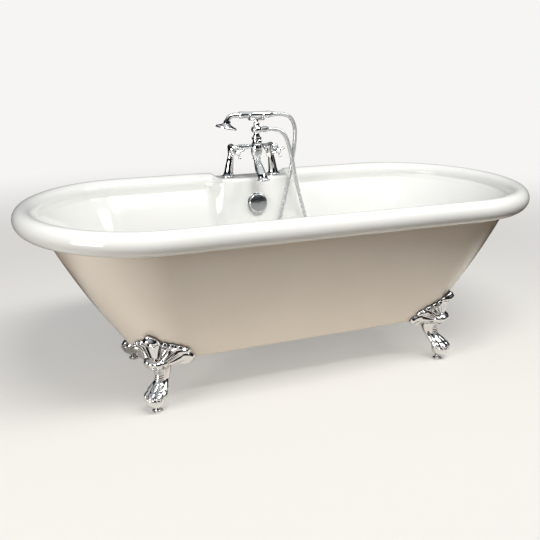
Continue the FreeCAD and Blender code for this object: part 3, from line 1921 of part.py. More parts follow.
# ---------------------------------------------------------------- check and write
doc.recompute()
for item in doc.Objects:
    if "Invalid" in item.State or "Error" in item.State:
        raise RuntimeError(f"{item.Name} failed: {item.State}")
for label, piece in pieces.items():
    if piece.Shape.isNull() or not piece.Shape.isValid():
        raise RuntimeError(f"{label} has no valid shape")

area = math.pi * hose_radius.value ** 2
print("hose length", round(hose_wire.Length), "smallest radius", round(min(hose_radii)))
print("hose volume over section times length", round(hose.Shape.Volume / (area * hose_wire.Length), 4))

os.makedirs("parts", exist_ok=True)
for label, piece in pieces.items():
    piece.Shape.exportStep(f"parts/{label}.step")
print(len(pieces), "sub-parts written")
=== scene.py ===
# %% [markdown]
# # A clawfoot bath, dressed for its portrait
#
# The bath comes from a CAD model: every rigid part is already in its true place and
# size, in metres, with +Z up. This notebook gives it what the CAD model leaves out:
# the soft skin of a moulded bath, carved feet, a hanging hose and real finishes.
# The camera and the hose come first, because the hose has to fit the camera's view.

# %% Load the frame
import json
import math

import bpy
import numpy as np
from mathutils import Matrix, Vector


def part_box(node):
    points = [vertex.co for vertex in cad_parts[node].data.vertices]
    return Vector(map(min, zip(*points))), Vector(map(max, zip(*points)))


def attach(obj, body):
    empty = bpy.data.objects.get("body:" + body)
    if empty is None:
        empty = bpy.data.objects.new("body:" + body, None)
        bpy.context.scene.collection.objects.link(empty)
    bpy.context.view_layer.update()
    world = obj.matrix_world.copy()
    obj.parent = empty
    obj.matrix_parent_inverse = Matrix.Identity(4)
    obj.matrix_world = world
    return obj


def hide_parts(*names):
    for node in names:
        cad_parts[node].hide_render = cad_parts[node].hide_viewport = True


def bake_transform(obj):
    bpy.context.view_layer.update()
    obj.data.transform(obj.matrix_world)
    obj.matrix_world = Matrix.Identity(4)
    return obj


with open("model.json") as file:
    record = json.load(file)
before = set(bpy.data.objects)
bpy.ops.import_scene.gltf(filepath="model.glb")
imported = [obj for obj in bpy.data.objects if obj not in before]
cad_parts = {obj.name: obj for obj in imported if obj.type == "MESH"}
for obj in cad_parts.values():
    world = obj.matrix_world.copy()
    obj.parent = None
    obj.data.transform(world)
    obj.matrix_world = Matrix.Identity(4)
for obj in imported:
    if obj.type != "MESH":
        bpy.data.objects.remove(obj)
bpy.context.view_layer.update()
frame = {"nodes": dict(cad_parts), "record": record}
nodes = frame["nodes"]
MM = 0.001
print("CAD nodes:", len(nodes))

# %% [markdown]
# Most pieces here are surfaces worked out as whole arrays. A grid of points has one
# row for each step along a section and one column for each step round the bath, and
# two neighbouring rows and columns make a face. A few functions turn any such grid
# into a closed mesh, so each later cell only has to say what shape its grid has.

# %% Grids into meshes
def new_piece(name, points, faces):
    """A smooth mesh object at the origin, from an array of points and lists of corners."""
    mesh = bpy.data.meshes.new(name)
    mesh.from_pydata(points.tolist(), [], faces)
    mesh.polygons.foreach_set("use_smooth", np.ones(len(mesh.polygons), bool))
    mesh.update()
    piece = bpy.data.objects.new(name, mesh)
    bpy.context.scene.collection.objects.link(piece)
    return piece


def grid_faces(rows, columns, closed=False):
    """Four-sided faces between neighbouring rows and columns of a grid. The columns
    always close on themselves, and the rows do too if the grid is closed."""
    row = np.arange(rows if closed else rows - 1)
    row, column = np.meshgrid(row, np.arange(columns), indexing="ij")
    next_row, next_column = (row + 1) % rows, (column + 1) % columns
    corners = [
        row * columns + column,
        row * columns + next_column,
        next_row * columns + next_column,
        next_row * columns + column,
    ]
    return np.stack([corner.ravel() for corner in corners], axis=1)


def outwards(points, *parts):
    """The faces of a closed mesh, in one or more arrays, all turned round if the mesh
    is inside out. The sum of corner . (next corner x the one after) over the
    triangles is six times the volume, and is below zero when the faces point in."""
    volume = 0.0
    for faces in parts:
        a, b, c, d = (points[faces[:, corner]] for corner in (0, 1, 2, -1))
        volume += np.sum(a * np.cross(b, c)) + np.sum(a * np.cross(c, d))
    turned = [faces[:, ::-1] if volume < 0 else faces for faces in parts]
    return [corners for faces in turned for corners in faces.tolist()]


def capped(rings, first_pole, last_pole):
    """A closed surface from a stack of rings, with a fan to a pole at each end."""
    count, around = rings.shape[:2]
    points = np.concatenate([rings.reshape(-1, 3), [first_pole], [last_pole]])
    step = np.arange(around)
    beside = (step + 1) % around
    last = (count - 1) * around
    first_fan = np.stack([np.full(around, count * around), beside, step], axis=1)
    last_fan = np.stack([np.full(around, count * around + 1), last + step, last + beside], axis=1)
    return points, outwards(points, grid_faces(count, around), first_fan, last_fan)


def smooth_step(low, high, value):
    """0 below low, 1 above high, and 3t^2 - 2t^3 between them."""
    t = np.clip((value - low) / (high - low), 0, 1)
    return t * t * (3 - 2 * t)


def mix(start, finish, share):
    """From start at share 0 to finish at share 1."""
    return start + (finish - start) * share


# %% [markdown]
# ## The camera
#
# The place, turn and focal length were found by matching the rim, the body and the
# feet of the photograph. The photograph's frame is square. Its view was taken a
# little off the middle, and the lens shift puts that back.

# %% Camera
PHOTO_SIDE = 540
FOCAL_PIXELS = 664.05
MIDDLE_ROW = 281.22
CAMERA_AT = (-0.8349, -1.9829, 1.0358)
CAMERA_HEADING = math.radians(-21.371)
CAMERA_DIP = math.radians(19.112)

camera_data = bpy.data.cameras.new("camera")
camera_data.sensor_width = 36.0
camera_data.lens = FOCAL_PIXELS / PHOTO_SIDE * camera_data.sensor_width
camera_data.shift_y = (MIDDLE_ROW - PHOTO_SIDE / 2) / PHOTO_SIDE
camera = bpy.data.objects.new("camera", camera_data)
camera.location = CAMERA_AT
camera.rotation_euler = (math.pi / 2 - CAMERA_DIP, 0.0, CAMERA_HEADING)
bpy.context.scene.collection.objects.link(camera)
bpy.context.scene.camera = camera
print("lens", round(camera_data.lens, 2), "mm")

# %% [markdown]
# ## The shower hose
#
# A hose is a fixed length of something that bends only gently. It leaves the riser,
# falls past the deck's right end into the bath, turns in a loose loop near the wall
# and climbs back to the handset. The points below pull a smooth NURBS curve along
# that way.

# %% Hose route
HOSE_DIAMETER = 0.014
hose_points = [
    (0.044, 0.283, 0.772),
    (0.080, 0.283, 0.772),
    (0.109, 0.278, 0.751),
    (0.122, 0.272, 0.711),
    (0.132, 0.266, 0.660),
    (0.143, 0.261, 0.598),
    (0.162, 0.258, 0.522),
    (0.186, 0.252, 0.436),
    (0.208, 0.238, 0.362),
    (0.220, 0.214, 0.300),
    (0.204, 0.182, 0.246),
    (0.158, 0.160, 0.214),
    (0.098, 0.158, 0.211),
    (0.052, 0.176, 0.238),
    (0.038, 0.208, 0.296),
    (0.050, 0.236, 0.365),
    (0.076, 0.252, 0.434),
    (0.105, 0.268, 0.520),
    (0.129, 0.279, 0.600),
    (0.143, 0.284, 0.668),
    (0.151, 0.285, 0.730),
    (0.150, 0.284, 0.776),
    (0.134, 0.2835, 0.810),
    (0.104, 0.283, 0.824),
    (0.070, 0.283, 0.824),
]
route = bpy.data.curves.new("hose_route", "CURVE")
route.dimensions = "3D"
route.resolution_u = 12
spline = route.splines.new("NURBS")
spline.points.add(len(hose_points) - 1)
spline.points.foreach_set("co", np.array([point + (1.0,) for point in hose_points]).ravel())
spline.order_u = 3
spline.use_endpoint_u = True
route_object = bpy.data.objects.new("hose_route", route)
bpy.context.scene.collection.objects.link(route_object)
bpy.context.view_layer.update()
route_mesh = bpy.data.meshes.new_from_object(route_object)
hose_line = np.zeros(len(route_mesh.vertices) * 3)
route_mesh.vertices.foreach_get("co", hose_line)
hose_line = hose_line.reshape(-1, 3)
bpy.data.objects.remove(route_object)
bpy.data.meshes.remove(route_mesh)
hose_length = float(np.linalg.norm(np.diff(hose_line, axis=0), axis=1).sum())
print("hose", len(hose_line), "points,", round(hose_length, 3), "m")

# %% [markdown]
# The hose itself is a round tube carried along the curve, with a map of its own:
# across is the turn round the hose and up is the metres along it.


def along(line):
    """Distance along a line at each of its points."""
    steps = np.linalg.norm(np.diff(line, axis=0), axis=1)
    return np.concatenate([[0.0], np.cumsum(steps)])


def frames(line):
    """Two directions across the line at each point. The first starts level and is
    carried from point to point, less its part along the line, so it never spins."""
    ahead = np.gradient(line, axis=0)
    ahead /= np.linalg.norm(ahead, axis=1, keepdims=True)
    side = np.cross(ahead[0], (0.0, 0.0, 1.0))
    sides = []
    for direction in ahead:
        side = side - direction * np.dot(side, direction)
        side = side / np.linalg.norm(side)
        sides.append(side)
    return np.array(sides), np.cross(ahead, sides)


def tube(name, line, radius, around=20):
    """A closed round tube: middle + radius (cos a side + sin a other side), with its
    two ends drawn in to a point."""
    side, other = (directions[:, None, :] for directions in frames(line))
    angle = np.linspace(0, 2 * np.pi, around, endpoint=False)[None, :, None]
    rings = line[:, None, :] + radius * (np.cos(angle) * side + np.sin(angle) * other)
    points, faces = capped(rings, line[0], line[-1])
    piece = new_piece(name, points, faces)
    corner = np.concatenate(faces)
    row = np.minimum(corner // around, len(line) - 1)
    uv = np.stack([corner % around / around, along(line)[row]], axis=1)
    piece.data.uv_layers.new(name="along").data.foreach_set("uv", uv.ravel())
    return piece


hose = tube("shower_hose_sleeve", hose_line, HOSE_DIAMETER / 2)
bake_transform(hose)
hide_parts("shower_hose")
print("hose sleeve", len(hose.data.polygons), "faces")

# %% [markdown]
# ## The form of the bath
#
# A roll-top bath is vacuum-formed acrylic inside a wider outer wall. Seen from above,
# every level of it is a plan with straight sides and half-ellipse ends. Three lengths
# describe a plan: half its length, half its width and half its straight side. Going
# up, all three grow, and the side bulges a little between the floor and the rim.

# %% Plans and stations
SHELL_HIGH = np.array(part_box("bath_shell")[1])
RIM_TOP = SHELL_HIGH[2]
ROLL_RADIUS = 0.033
ROLL_HEIGHT = RIM_TOP - ROLL_RADIUS
ROLL_PLAN = np.array([SHELL_HIGH[0] - ROLL_RADIUS, SHELL_HIGH[1] - ROLL_RADIUS, 0.478])
BODY_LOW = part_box("outer_skin")[0][2]
BODY_HIGH = RIM_TOP - 0.0545
LOW_PLAN = np.array([0.544, 0.183, 0.415])
HIGH_PLAN = np.array([0.778, 0.358, 0.478])
BULGE = np.array([0.0145, 0.0120, 0.0])
THROAT_GAP = 0.0092
BASIN_GAP = 0.028
GAP_OPENS_OVER = 0.110
DECK_ZONE = 0.200
ZONE_SHARE = DECK_ZONE / ROLL_PLAN[2]


def body_plan(height):
    """Half length, half width and half straight of the outer face at each height:
    a straight mix of the lowest and highest plan, plus 4t(1 - t) of the bulge."""
    t = ((height - BODY_LOW) / (BODY_HIGH - BODY_LOW))[..., None]
    return LOW_PLAN + (HIGH_PLAN - LOW_PLAN) * t + BULGE * 4 * t * (1 - t)


def basin_plan(height):
    """The inner face's plan: the outer one less a gap that is narrow at the throat and
    opens out below it."""
    t = np.clip((BODY_HIGH - height) / GAP_OPENS_OVER, 0, 1)
    gap = mix(THROAT_GAP, BASIN_GAP, t * (2 - t))[..., None]
    return body_plan(height) - gap * np.array([1.0, 1.0, 0.0])


def stations(side_steps, zone_steps, end_steps):
    """Where the columns stand round a plan, as pairs of (stretch, share). Stretch 0
    is the far side from right to left, 1 the left end, 2 the near side and 3 the
    right end. Shares on the far side are crowded in the zone of the tap deck."""
    outer = np.linspace(1, ZONE_SHARE, side_steps, endpoint=False)
    inner = np.linspace(ZONE_SHARE, -ZONE_SHARE, zone_steps, endpoint=False)
    far = np.concatenate([outer, inner, [-ZONE_SHARE], -outer[:0:-1]])
    near = np.linspace(-1, 1, side_steps * 2, endpoint=False)
    end = np.linspace(0, 1, end_steps, endpoint=False)
    stretch = np.repeat([0, 1, 2, 3], [len(far), end_steps, len(near), end_steps])
    return stretch, np.concatenate([far, end, near, end])


STRETCH, SHARE = stations(side_steps=22, zone_steps=120, end_steps=76)
ON_FAR = STRETCH == 0
print("stations round the bath:", len(STRETCH))


def plan_points(plan):
    """Points of the plans at the stations, and which way is outwards there. On the
    ends the angle runs half a turn round the ellipse; on the sides x is a share of
    the straight, except that in the deck's zone it is the same at every height."""
    length, width, straight = plan[..., 0], plan[..., 1], plan[..., 2]
    end = length - straight
    past = (np.abs(SHARE) - ZONE_SHARE) / (1 - ZONE_SHARE)
    side_x = np.where(
        np.abs(SHARE) < ZONE_SHARE,
        SHARE * ROLL_PLAN[2],
        np.sign(SHARE) * (DECK_ZONE + past * (straight - DECK_ZONE)),
    )
    angle = np.where(STRETCH == 1, np.pi / 2, -np.pi / 2) + np.pi * SHARE
    side = np.where(ON_FAR, 1.0, -1.0)
    end_side = np.where(STRETCH == 1, -1.0, 1.0)
    on_side = ON_FAR | (STRETCH == 2)
    x = np.where(on_side, side_x, end_side * straight + end * np.cos(angle))
    y = np.where(on_side, side * width, width * np.sin(angle))
    out_x = np.where(on_side, 0.0, np.cos(angle) * width)
    out_y = np.where(on_side, side, np.sin(angle) * end)
    size = np.hypot(out_x, out_y)
    return np.stack([x, y], axis=-1), np.stack([out_x / size, out_y / size], axis=-1)


def face_points(plan, height):
    """plan_points of the body's or the basin's plan, at one height or at one each."""
    return plan_points(plan(np.broadcast_to(height, len(STRETCH))))


def lifted(spot, height):
    """Points of a plan with their height as third coordinate."""
    return np.column_stack([spot, np.broadcast_to(height, len(spot))])


ROLL_MIDDLE, ROLL_OUT = plan_points(np.broadcast_to(ROLL_PLAN, (len(STRETCH), 3)))

# %% [markdown]
# ## The white moulding
#
# The white part is one sheet of acrylic: basin floor, rounded corner, wall, rolled
# rim and the tap deck let into the far side. It is worked out as a section, from the
# waste outwards and over the roll, at every station round the plan. On the far side
# the section turns into that of the deck: the wall leans into the basin as a flat
# panel, and the roll is cut down to a flat shelf whose two ends slope up again.

# %% Measures of the moulding
FLOOR = 0.180
FLOOR_ROUND = 0.070
FLOOR_SPREAD = 0.8
WASTE_AT = np.array([0.0, 0.060])
WASTE_HOLE = 0.0265
SHELL_WALL = 0.005
# The wall flares into the roll over its last stretch, where its rows stand closer.
FINER_FROM = 0.93
FLARE_FOOT = BODY_HIGH - 0.003
FLARE_POWER = 1.6
# The roll's section is a turn, in degrees: it starts inside, at the wall's top, goes
# over the lip, the top and the outer side, and ends underneath.
ROLL_START, LIP_END, ROLL_TOP, ROLL_SIDE, ROLL_END = 188, 150, 90, 0, -150
# The deck's height, front and back, its half length and the slope at each end, then
# the half length, fade, softness and lean of the panel below it.
DECK_TOP = RIM_TOP - 0.0135
DECK_FRONT = 0.297
DECK_FLAT_END = 0.383
DECK_EDGE = 0.009
DECK_HALF = 0.124
DECK_SLOPE = 0.026
PANEL_HALF = 0.112
PANEL_FADE = 0.185
PANEL_SOFT = 0.012
PANEL_LEAN = math.radians(10)


def corner_curve(start, corner, finish, share, turn):
    """A round corner as a conic: three points, the middle one weighted by the cosine
    of half the turn, which makes it a true arc when both legs are equal."""
    weight = math.cos(turn / 2)
    a, b, c = (1 - share) ** 2, 2 * share * (1 - share) * weight, share ** 2
    return (a * start + b * corner + c * finish) / (a + b + c)


def waste_edge(spot):
    """The points of the waste hole's edge that face the given points."""
    x, y = (spot - WASTE_AT).T
    heading = np.arctan2(y, x)
    return WASTE_AT + WASTE_HOLE * np.column_stack([np.cos(heading), np.sin(heading)])


def deck_section(degrees):
    """y and z of the deck where the roll has turned so far: round the front edge,
    back along the flat, and down the outside as a quarter of an ellipse."""
    if degrees >= LIP_END:
        front = np.array([DECK_FRONT, DECK_TOP])
        down = DECK_EDGE * np.array([math.sin(PANEL_LEAN), math.cos(PANEL_LEAN)])
        back = np.array([DECK_EDGE, 0.0])
        share = (ROLL_START - degrees) / (ROLL_START - LIP_END)
        turn = math.pi / 2 - PANEL_LEAN
        return corner_curve(front - down, front, front + back, share, turn)
    if degrees >= ROLL_TOP:
        share = (LIP_END - degrees) / (LIP_END - ROLL_TOP)
        return mix(DECK_FRONT + DECK_EDGE, DECK_FLAT_END, share), DECK_TOP
    angle = math.radians(degrees)
    return (mix(DECK_FLAT_END, SHELL_HIGH[1], math.cos(angle)),
            mix(ROLL_HEIGHT, DECK_TOP, math.sin(angle)))


# %% Section of the moulding
def floor_rows():
    """The basin's floor from the waste outwards, then the round corner up to the wall.
    The corner's legs are as long as an arc of its radius needs at the wall's lean."""
    probe = 0.02
    at_floor, out = face_points(basin_plan, FLOOR)
    higher, _ = face_points(basin_plan, FLOOR + probe)
    lean = np.arctan2(np.sum((higher - at_floor) * out, axis=1), probe)
    leg = FLOOR_ROUND * np.tan((np.pi / 2 - lean) / 2)
    flat = at_floor - leg[:, None] * out
    round_top = FLOOR + leg * np.cos(lean)
    above, _ = face_points(basin_plan, round_top)
    rows = [lifted(mix(waste_edge(flat), flat, share), FLOOR)
            for share in np.linspace(0, 1, 9) ** FLOOR_SPREAD]
    corner = lifted(flat, FLOOR), lifted(at_floor, FLOOR), lifted(above, round_top)
    turn = np.pi / 2 - np.mean(lean)
    rows += [corner_curve(*corner, share, turn) for share in np.linspace(0, 1, 12)[1:]]
    return rows, round_top


def wall_rows(round_top, deck_share, panel_share):
    """The wall from the round corner up to the roll. The panel stands where the wall
    would be behind its leaning plane, with a soft run from one into the other."""
    start = math.radians(ROLL_START)
    wall_top = ROLL_HEIGHT + ROLL_RADIUS * math.sin(start)
    highest = mix(wall_top, DECK_TOP - DECK_EDGE * math.cos(PANEL_LEAN), deck_share)
    inner = ROLL_MIDDLE + ROLL_RADIUS * math.cos(start) * ROLL_OUT
    shift = (inner - face_points(basin_plan, highest)[0]) * (1 - deck_share)[:, None]
    rows = []
    steps = np.linspace(0, FINER_FROM, 26)[1:], np.linspace(FINER_FROM, 1, 10)[1:]
    for share in np.concatenate(steps):
        height = mix(round_top, highest, share)
        spot, _ = face_points(basin_plan, height)
        flare = np.clip((height - FLARE_FOOT) / (wall_top - FLARE_FOOT), 0, 1) ** FLARE_POWER
        spot = spot + shift * flare[:, None]
        behind = spot[:, 1] - (DECK_FRONT - (DECK_TOP - height) * math.tan(PANEL_LEAN))
        pull = 0.5 * (behind + np.hypot(behind, PANEL_SOFT))
        pull -= 0.5 * PANEL_SOFT * np.exp(-np.abs(behind) / PANEL_SOFT)
        spot[:, 1] -= panel_share * np.maximum(pull, 0)
        rows.append(lifted(spot, height))
    return rows


def roll_rows(deck_share):
    """The roll: an arc about its middle line, and the deck's section on the deck."""
    rows = []
    sweeps = ((ROLL_START, LIP_END, 8), (LIP_END, ROLL_TOP, 12), (ROLL_TOP, ROLL_SIDE, 14),
              (ROLL_SIDE, ROLL_END, 18))
    for degrees in np.concatenate([np.linspace(*sweep)[1:] for sweep in sweeps]):
        angle = math.radians(degrees)
        row = lifted(ROLL_MIDDLE + ROLL_RADIUS * math.cos(angle) * ROLL_OUT,
                     ROLL_HEIGHT + ROLL_RADIUS * math.sin(angle))
        if degrees >= ROLL_SIDE:
            y, z = deck_section(degrees)
            deck = lifted(np.column_stack([ROLL_MIDDLE[:, 0], np.full(len(row), y)]), z)
            row = mix(row, deck, deck_share[:, None])
        rows.append(row)
    return rows


def moulding_section():
    """Rows of the moulding's front face, waste first, as a rows x stations x 3 grid."""
    x = np.abs(ROLL_MIDDLE[:, 0])
    deck_share = np.where(ON_FAR, 1 - np.clip((x - DECK_HALF) / DECK_SLOPE, 0, 1), 0.0)
    panel_share = np.where(ON_FAR, 1 - smooth_step(PANEL_HALF, PANEL_FADE, x), 0.0)
    rows, round_top = floor_rows()
    rows += wall_rows(round_top, deck_share, panel_share)
    return np.stack(rows + roll_rows(deck_share))


def grid_normals(grid):
    """The direction square to a grid that closes on itself from column to column:
    the cross product of the steps along its rows and down its columns."""
    across = np.roll(grid, -1, axis=1) - np.roll(grid, 1, axis=1)
    down = np.gradient(grid, axis=0)
    normal = np.cross(across, down)
    return normal / np.maximum(np.linalg.norm(normal, axis=2, keepdims=True), 1e-12)


front_face = moulding_section()
front_out = grid_normals(front_face)
front_out *= np.sign(front_out[0, 0, 2])
back_face = (front_face - SHELL_WALL * front_out)[::2]
sheet = np.concatenate([front_face, back_face[::-1]])
sheet_points = sheet.reshape(-1, 3)
sheet_faces = outwards(sheet_points, grid_faces(*sheet.shape[:2], closed=True))
moulding = new_piece("bath_moulding", sheet_points, sheet_faces)
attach(moulding, "tub")
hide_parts("bath_shell")
print("moulding", len(sheet_faces) * 2, "triangles")

# %% [markdown]
# ## The cream outer wall
#
# The outside is a second moulding, painted cream and polished. It has a small round
# at its foot, a slow bulge up its side, and it ends where it meets the underside of
# the roll. Behind the taps it has a window, which leaves room for the plumbing.

# %% Outer wall
SKIN_WALL = 0.0035
SKIN_TOP = BODY_HIGH + 0.0035
FOOT_ROUND = 0.010
FOOT_TURN = math.radians(65)
WINDOW_HALF = 0.1603
WINDOW_FOOT = 0.4347
WINDOW_SLACK = 0.002
SEAM = 0.0004
SEARCH_FROM = BODY_HIGH - 0.012


def meets_roll():
    """The height at each station where the wall ends: where it first comes within
    the roll's radius of the middle of the roll, or at the top if it never does."""
    tries = np.linspace(SEARCH_FROM, SKIN_TOP, 80)
    away = []
    for height in tries:
        spot, out = face_points(body_plan, height)
        across = np.sum((spot - ROLL_MIDDLE) * out, axis=1)
        away.append(np.hypot(across, height - ROLL_HEIGHT))
    touching = np.array(away) < ROLL_RADIUS + SEAM
    return np.where(touching.any(axis=0), tries[np.argmax(touching, axis=0)], SKIN_TOP)


def skin_section():
    """Rows of the wall's outer face, waste first: the bottom, the round at its foot,
    the side up to the window's foot, and the rest up to the roll."""
    base, out = face_points(body_plan, BODY_LOW)
    inner = base - FOOT_ROUND * out
    round_top = BODY_LOW + FOOT_ROUND
    rise, _ = face_points(body_plan, round_top)
    rows = [lifted(mix(waste_edge(inner), inner, share), BODY_LOW)
            for share in np.linspace(0, 1, 7)]
    corner = lifted(inner, BODY_LOW), lifted(base, BODY_LOW), lifted(rise, round_top)
    rows += [corner_curve(*corner, share, FOOT_TURN) for share in np.linspace(0, 1, 8)[1:]]
    rows += [lifted(face_points(body_plan, height)[0], height)
             for height in np.linspace(round_top, WINDOW_FOOT, 26)[1:]]
    window_row = len(rows) - 1
    roll = meets_roll()
    for share in np.linspace(0, 1, 12)[1:]:
        height = mix(WINDOW_FOOT, roll, share)
        rows.append(lifted(face_points(body_plan, height)[0], height))
    return np.stack(rows), window_row


def thick_sheet(front, back, kept):
    """A closed sheet from its two faces. kept says which cells of the grid are there;
    wherever a kept cell has no kept neighbour, a face joins the front to the back."""
    rows, columns = front.shape[:2]
    front_cells = grid_faces(rows, columns)
    back_cells = front_cells[:, ::-1] + rows * columns
    keep = kept.ravel()
    faces = [front_cells[keep], back_cells[keep]]
    corners = front_cells.reshape(kept.shape + (4,))
    padded = np.pad(kept, ((1, 1), (0, 0)))
    neighbours = [
        (padded[:-2], (0, 1)),
        (padded[2:], (2, 3)),
        (np.roll(kept, 1, axis=1), (3, 0)),
        (np.roll(kept, -1, axis=1), (1, 2)),
    ]
    for beside, (first, second) in neighbours:
        edge = kept & ~beside
        a, b = corners[edge][:, first], corners[edge][:, second]
        faces.append(np.stack([b, a, a + rows * columns, b + rows * columns], axis=1))
    points = np.concatenate([front.reshape(-1, 3), back.reshape(-1, 3)])
    used, faces = np.unique(np.concatenate(faces), return_inverse=True)
    return points[used], faces.reshape(-1, 4)


outer_face, window_row = skin_section()
outer_out = grid_normals(outer_face)
outer_out *= -np.sign(outer_out[0, 0, 2])
column_x = np.abs(outer_face[window_row, :, 0])
cell_x = np.maximum(column_x, np.roll(column_x, -1))
kept = np.ones((len(outer_face) - 1, len(STRETCH)), bool)
kept[window_row:, ON_FAR & (cell_x <= WINDOW_HALF + WINDOW_SLACK)] = False
skin_points, skin_faces = thick_sheet(outer_face, outer_face - SKIN_WALL * outer_out, kept)
skin_faces = outwards(skin_points, skin_faces)
outer_wall = new_piece("bath_outer_wall", skin_points, skin_faces)
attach(outer_wall, "tub")
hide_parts("outer_skin")
print("outer wall", len(skin_faces) * 2, "triangles")

# %% [markdown]
# ## Finishes
#
# Every finish starts from what the real one is and how its surface was made, and is
# built from a few nodes. One small function adds a node, sets it and links it.

# %% Colour and node helpers
def colour(code):
    """An sRGB hex colour as the linear colour that a shader needs."""
    value = np.array([int(code[index:index + 2], 16) / 255 for index in (1, 3, 5)])
    linear = np.where(value <= 0.04045, value / 12.92, ((value + 0.055) / 1.055) ** 2.4)
    return (*linear.tolist(), 1.0)


def add(tree, kind, values=None, links=None, **settings):
    """Add a node to a tree: its own settings, the values of its unlinked sockets, and
    the outputs that feed its linked ones, both by socket name or number."""
    node = tree.nodes.new(kind)
    for name, value in settings.items():
        setattr(node, name, value)
    for name, value in (values or {}).items():
        node.inputs[name].default_value = value
    for name, output in (links or {}).items():
        tree.links.new(output, node.inputs[name])
    return node


def blank(name):
    """An empty material, its node tree and its object coordinates."""
    material = bpy.data.materials.new(name)
    material.use_nodes = True
    tree = material.node_tree
    tree.nodes.clear()
    return material, tree, add(tree, "ShaderNodeTexCoord").outputs["Object"]


def finish(name, sockets=None):
    """A material with a surface shader, some of whose sockets have values already."""
    material, tree, place = blank(name)
    shader = add(tree, "ShaderNodeBsdfPrincipled", sockets)
    add(tree, "ShaderNodeOutputMaterial", links={"Surface": shader.outputs[0]})
    return material, tree, shader, place


def noise(tree, place, size, detail):
    """A noise with blotches of about that size in millimetres."""
    return add(
        tree,
        "ShaderNodeTexNoise",
        {"Scale": 1 / (size * MM), "Detail": detail},
        {"Vector": place},
    ).outputs["Fac"]


def uneven(tree, place, size, low, high, detail=3.0):
    """A noise with blotches of that size, spread between two values."""
    return add(
        tree,
        "ShaderNodeMapRange",
        {"From Min": 0.3, "From Max": 0.7, "To Min": low, "To Max": high},
        {"Value": noise(tree, place, size, detail)},
    ).outputs[0]


def ripple(tree, shader, place, size, depth):
    """A bump with blotches of that size and about that depth, both in millimetres."""
    bump = add(
        tree,
        "ShaderNodeBump",
        {"Strength": 1.0, "Distance": depth * MM},
        {"Height": noise(tree, place, size, 2.0)},
    )
    tree.links.new(bump.outputs[0], shader.inputs["Normal"])


def tinted(tree, shader, factor, first, second):
    """The base colour, mixed between two near tones by a factor."""
    blend = add(
        tree,
        "ShaderNodeMix",
        {6: colour(first), 7: colour(second)},
        {0: factor},
        data_type="RGBA",
    )
    tree.links.new(blend.outputs[2], shader.inputs["Base Color"])


def surface(name, tones, patch, rough, grain, sockets=None, detail=3.0):
    """A finish of two near tones in patches of one size. rough is the size of the
    roughness's blotches and its two limits, and grain is the size and the depth of
    the ripple. Sizes and depths are in millimetres."""
    material, tree, shader, place = finish(name, sockets)
    tinted(tree, shader, uneven(tree, place, patch, 0, 1, detail), *tones)
    tree.links.new(uneven(tree, place, *rough), shader.inputs["Roughness"])
    ripple(tree, shader, place, *grain)
    return material


METAL = {"Metallic": 1.0}

# %% [markdown]
# The inside of the bath is cast acrylic sheet, drawn down over a mould. It is glossy
# and white right through, with the very slight waviness of a drawn sheet, which
# only shows in its reflections.

# %% White cast acrylic
white_acrylic = surface(
    "white_cast_acrylic", ("#E6E6E4", "#E2E3E2"), 240, (60, 0.08, 0.13), (45, 0.05),
    {"IOR": 1.49},
)

# %% [markdown]
# The outer wall is acrylic too, sprayed a warm cream and polished. Sprayed paint has
# a finer ripple than the sheet, called orange peel, and a clear coat over it.

# %% Cream sprayed gloss
cream_gloss = surface(
    "cream_sprayed_gloss", ("#DFD6CA", "#DBD1C4"), 320, (80, 0.14, 0.20), (30, 0.04),
    {"Coat Weight": 0.6, "Coat Roughness": 0.06},
)

# %% [markdown]
# The taps and feet are chrome plated. Turned brass takes a perfect mirror, the
# overflow's plate and knob are brushed before they are plated and shine more softly,
# and the cast feet keep a little of the sand's grain; painted shade darkens their folds.

# %% Chrome
chrome = surface(
    "polished_chrome_plate", ("#EDEEEF", "#E4E6E8"), 30, (18, 0.03, 0.07), (16, 0.012), METAL
)
satin_chrome = surface(
    "satin_chrome_plate", ("#E2E4E5", "#D6D8DA"), 20, (6, 0.13, 0.19), (4, 0.01), METAL
)

FOLD_REACH = 8
cast_chrome, tree, shader, place = finish("chrome_plated_casting", METAL)
# Painted shade: where ambient occlusion finds folds and hollows, the casting's colour is mixed
# towards a dark grey.
fold_shade_ao = add(tree, "ShaderNodeAmbientOcclusion", {"Distance": FOLD_REACH * MM}, samples=8)
depth = add(
    tree,
    "ShaderNodeMapRange",
    {"From Min": 0.35, "From Max": 0.85, "To Min": 1.0, "To Max": 0.0},
    {"Value": fold_shade_ao.outputs["AO"]},
).outputs[0]
tinted(tree, shader, depth, "#D6D7D9", "#6A6A6D")
tree.links.new(uneven(tree, place, 9, 0.06, 0.12), shader.inputs["Roughness"])
ripple(tree, shader, place, 7, 0.05)

# %% [markdown]
# The hidden and small parts: white moulded plastic, zinc-plated steel, machined
# brass, black moulded rubber, glazed porcelain and a sealed board.

# %% Small finishes
moulded_plastic = surface(
    "white_moulded_plastic", ("#DAD9D5", "#D2D1CC"), 40, (3, 0.35, 0.5), (1.2, 0.02)
)
zinc_steel = surface(
    "zinc_plated_steel", ("#B9BCBF", "#A3A7AB"), 4, (2, 0.25, 0.42), (1.5, 0.03), METAL
)
machined_brass = surface(
    "machined_brass", ("#CFB06A", "#BB9A55"), 6, (2, 0.18, 0.3), (0.8, 0.02), METAL
)
black_rubber = surface(
    "black_moulded_rubber", ("#262627", "#1E1E1F"), 8, (2, 0.5, 0.65), (0.9, 0.03)
)
porcelain = surface(
    "glazed_porcelain", ("#F4F3EE", "#EDECE6"), 10, (5, 0.05, 0.1), (4, 0.02),
    {"Coat Weight": 0.8},
)
sealed_board = surface(
    "sealed_fibre_board", ("#A98A63", "#8E7150"), 2.5, (6, 0.55, 0.75), (1.5, 0.15),
    detail=6.0,
)

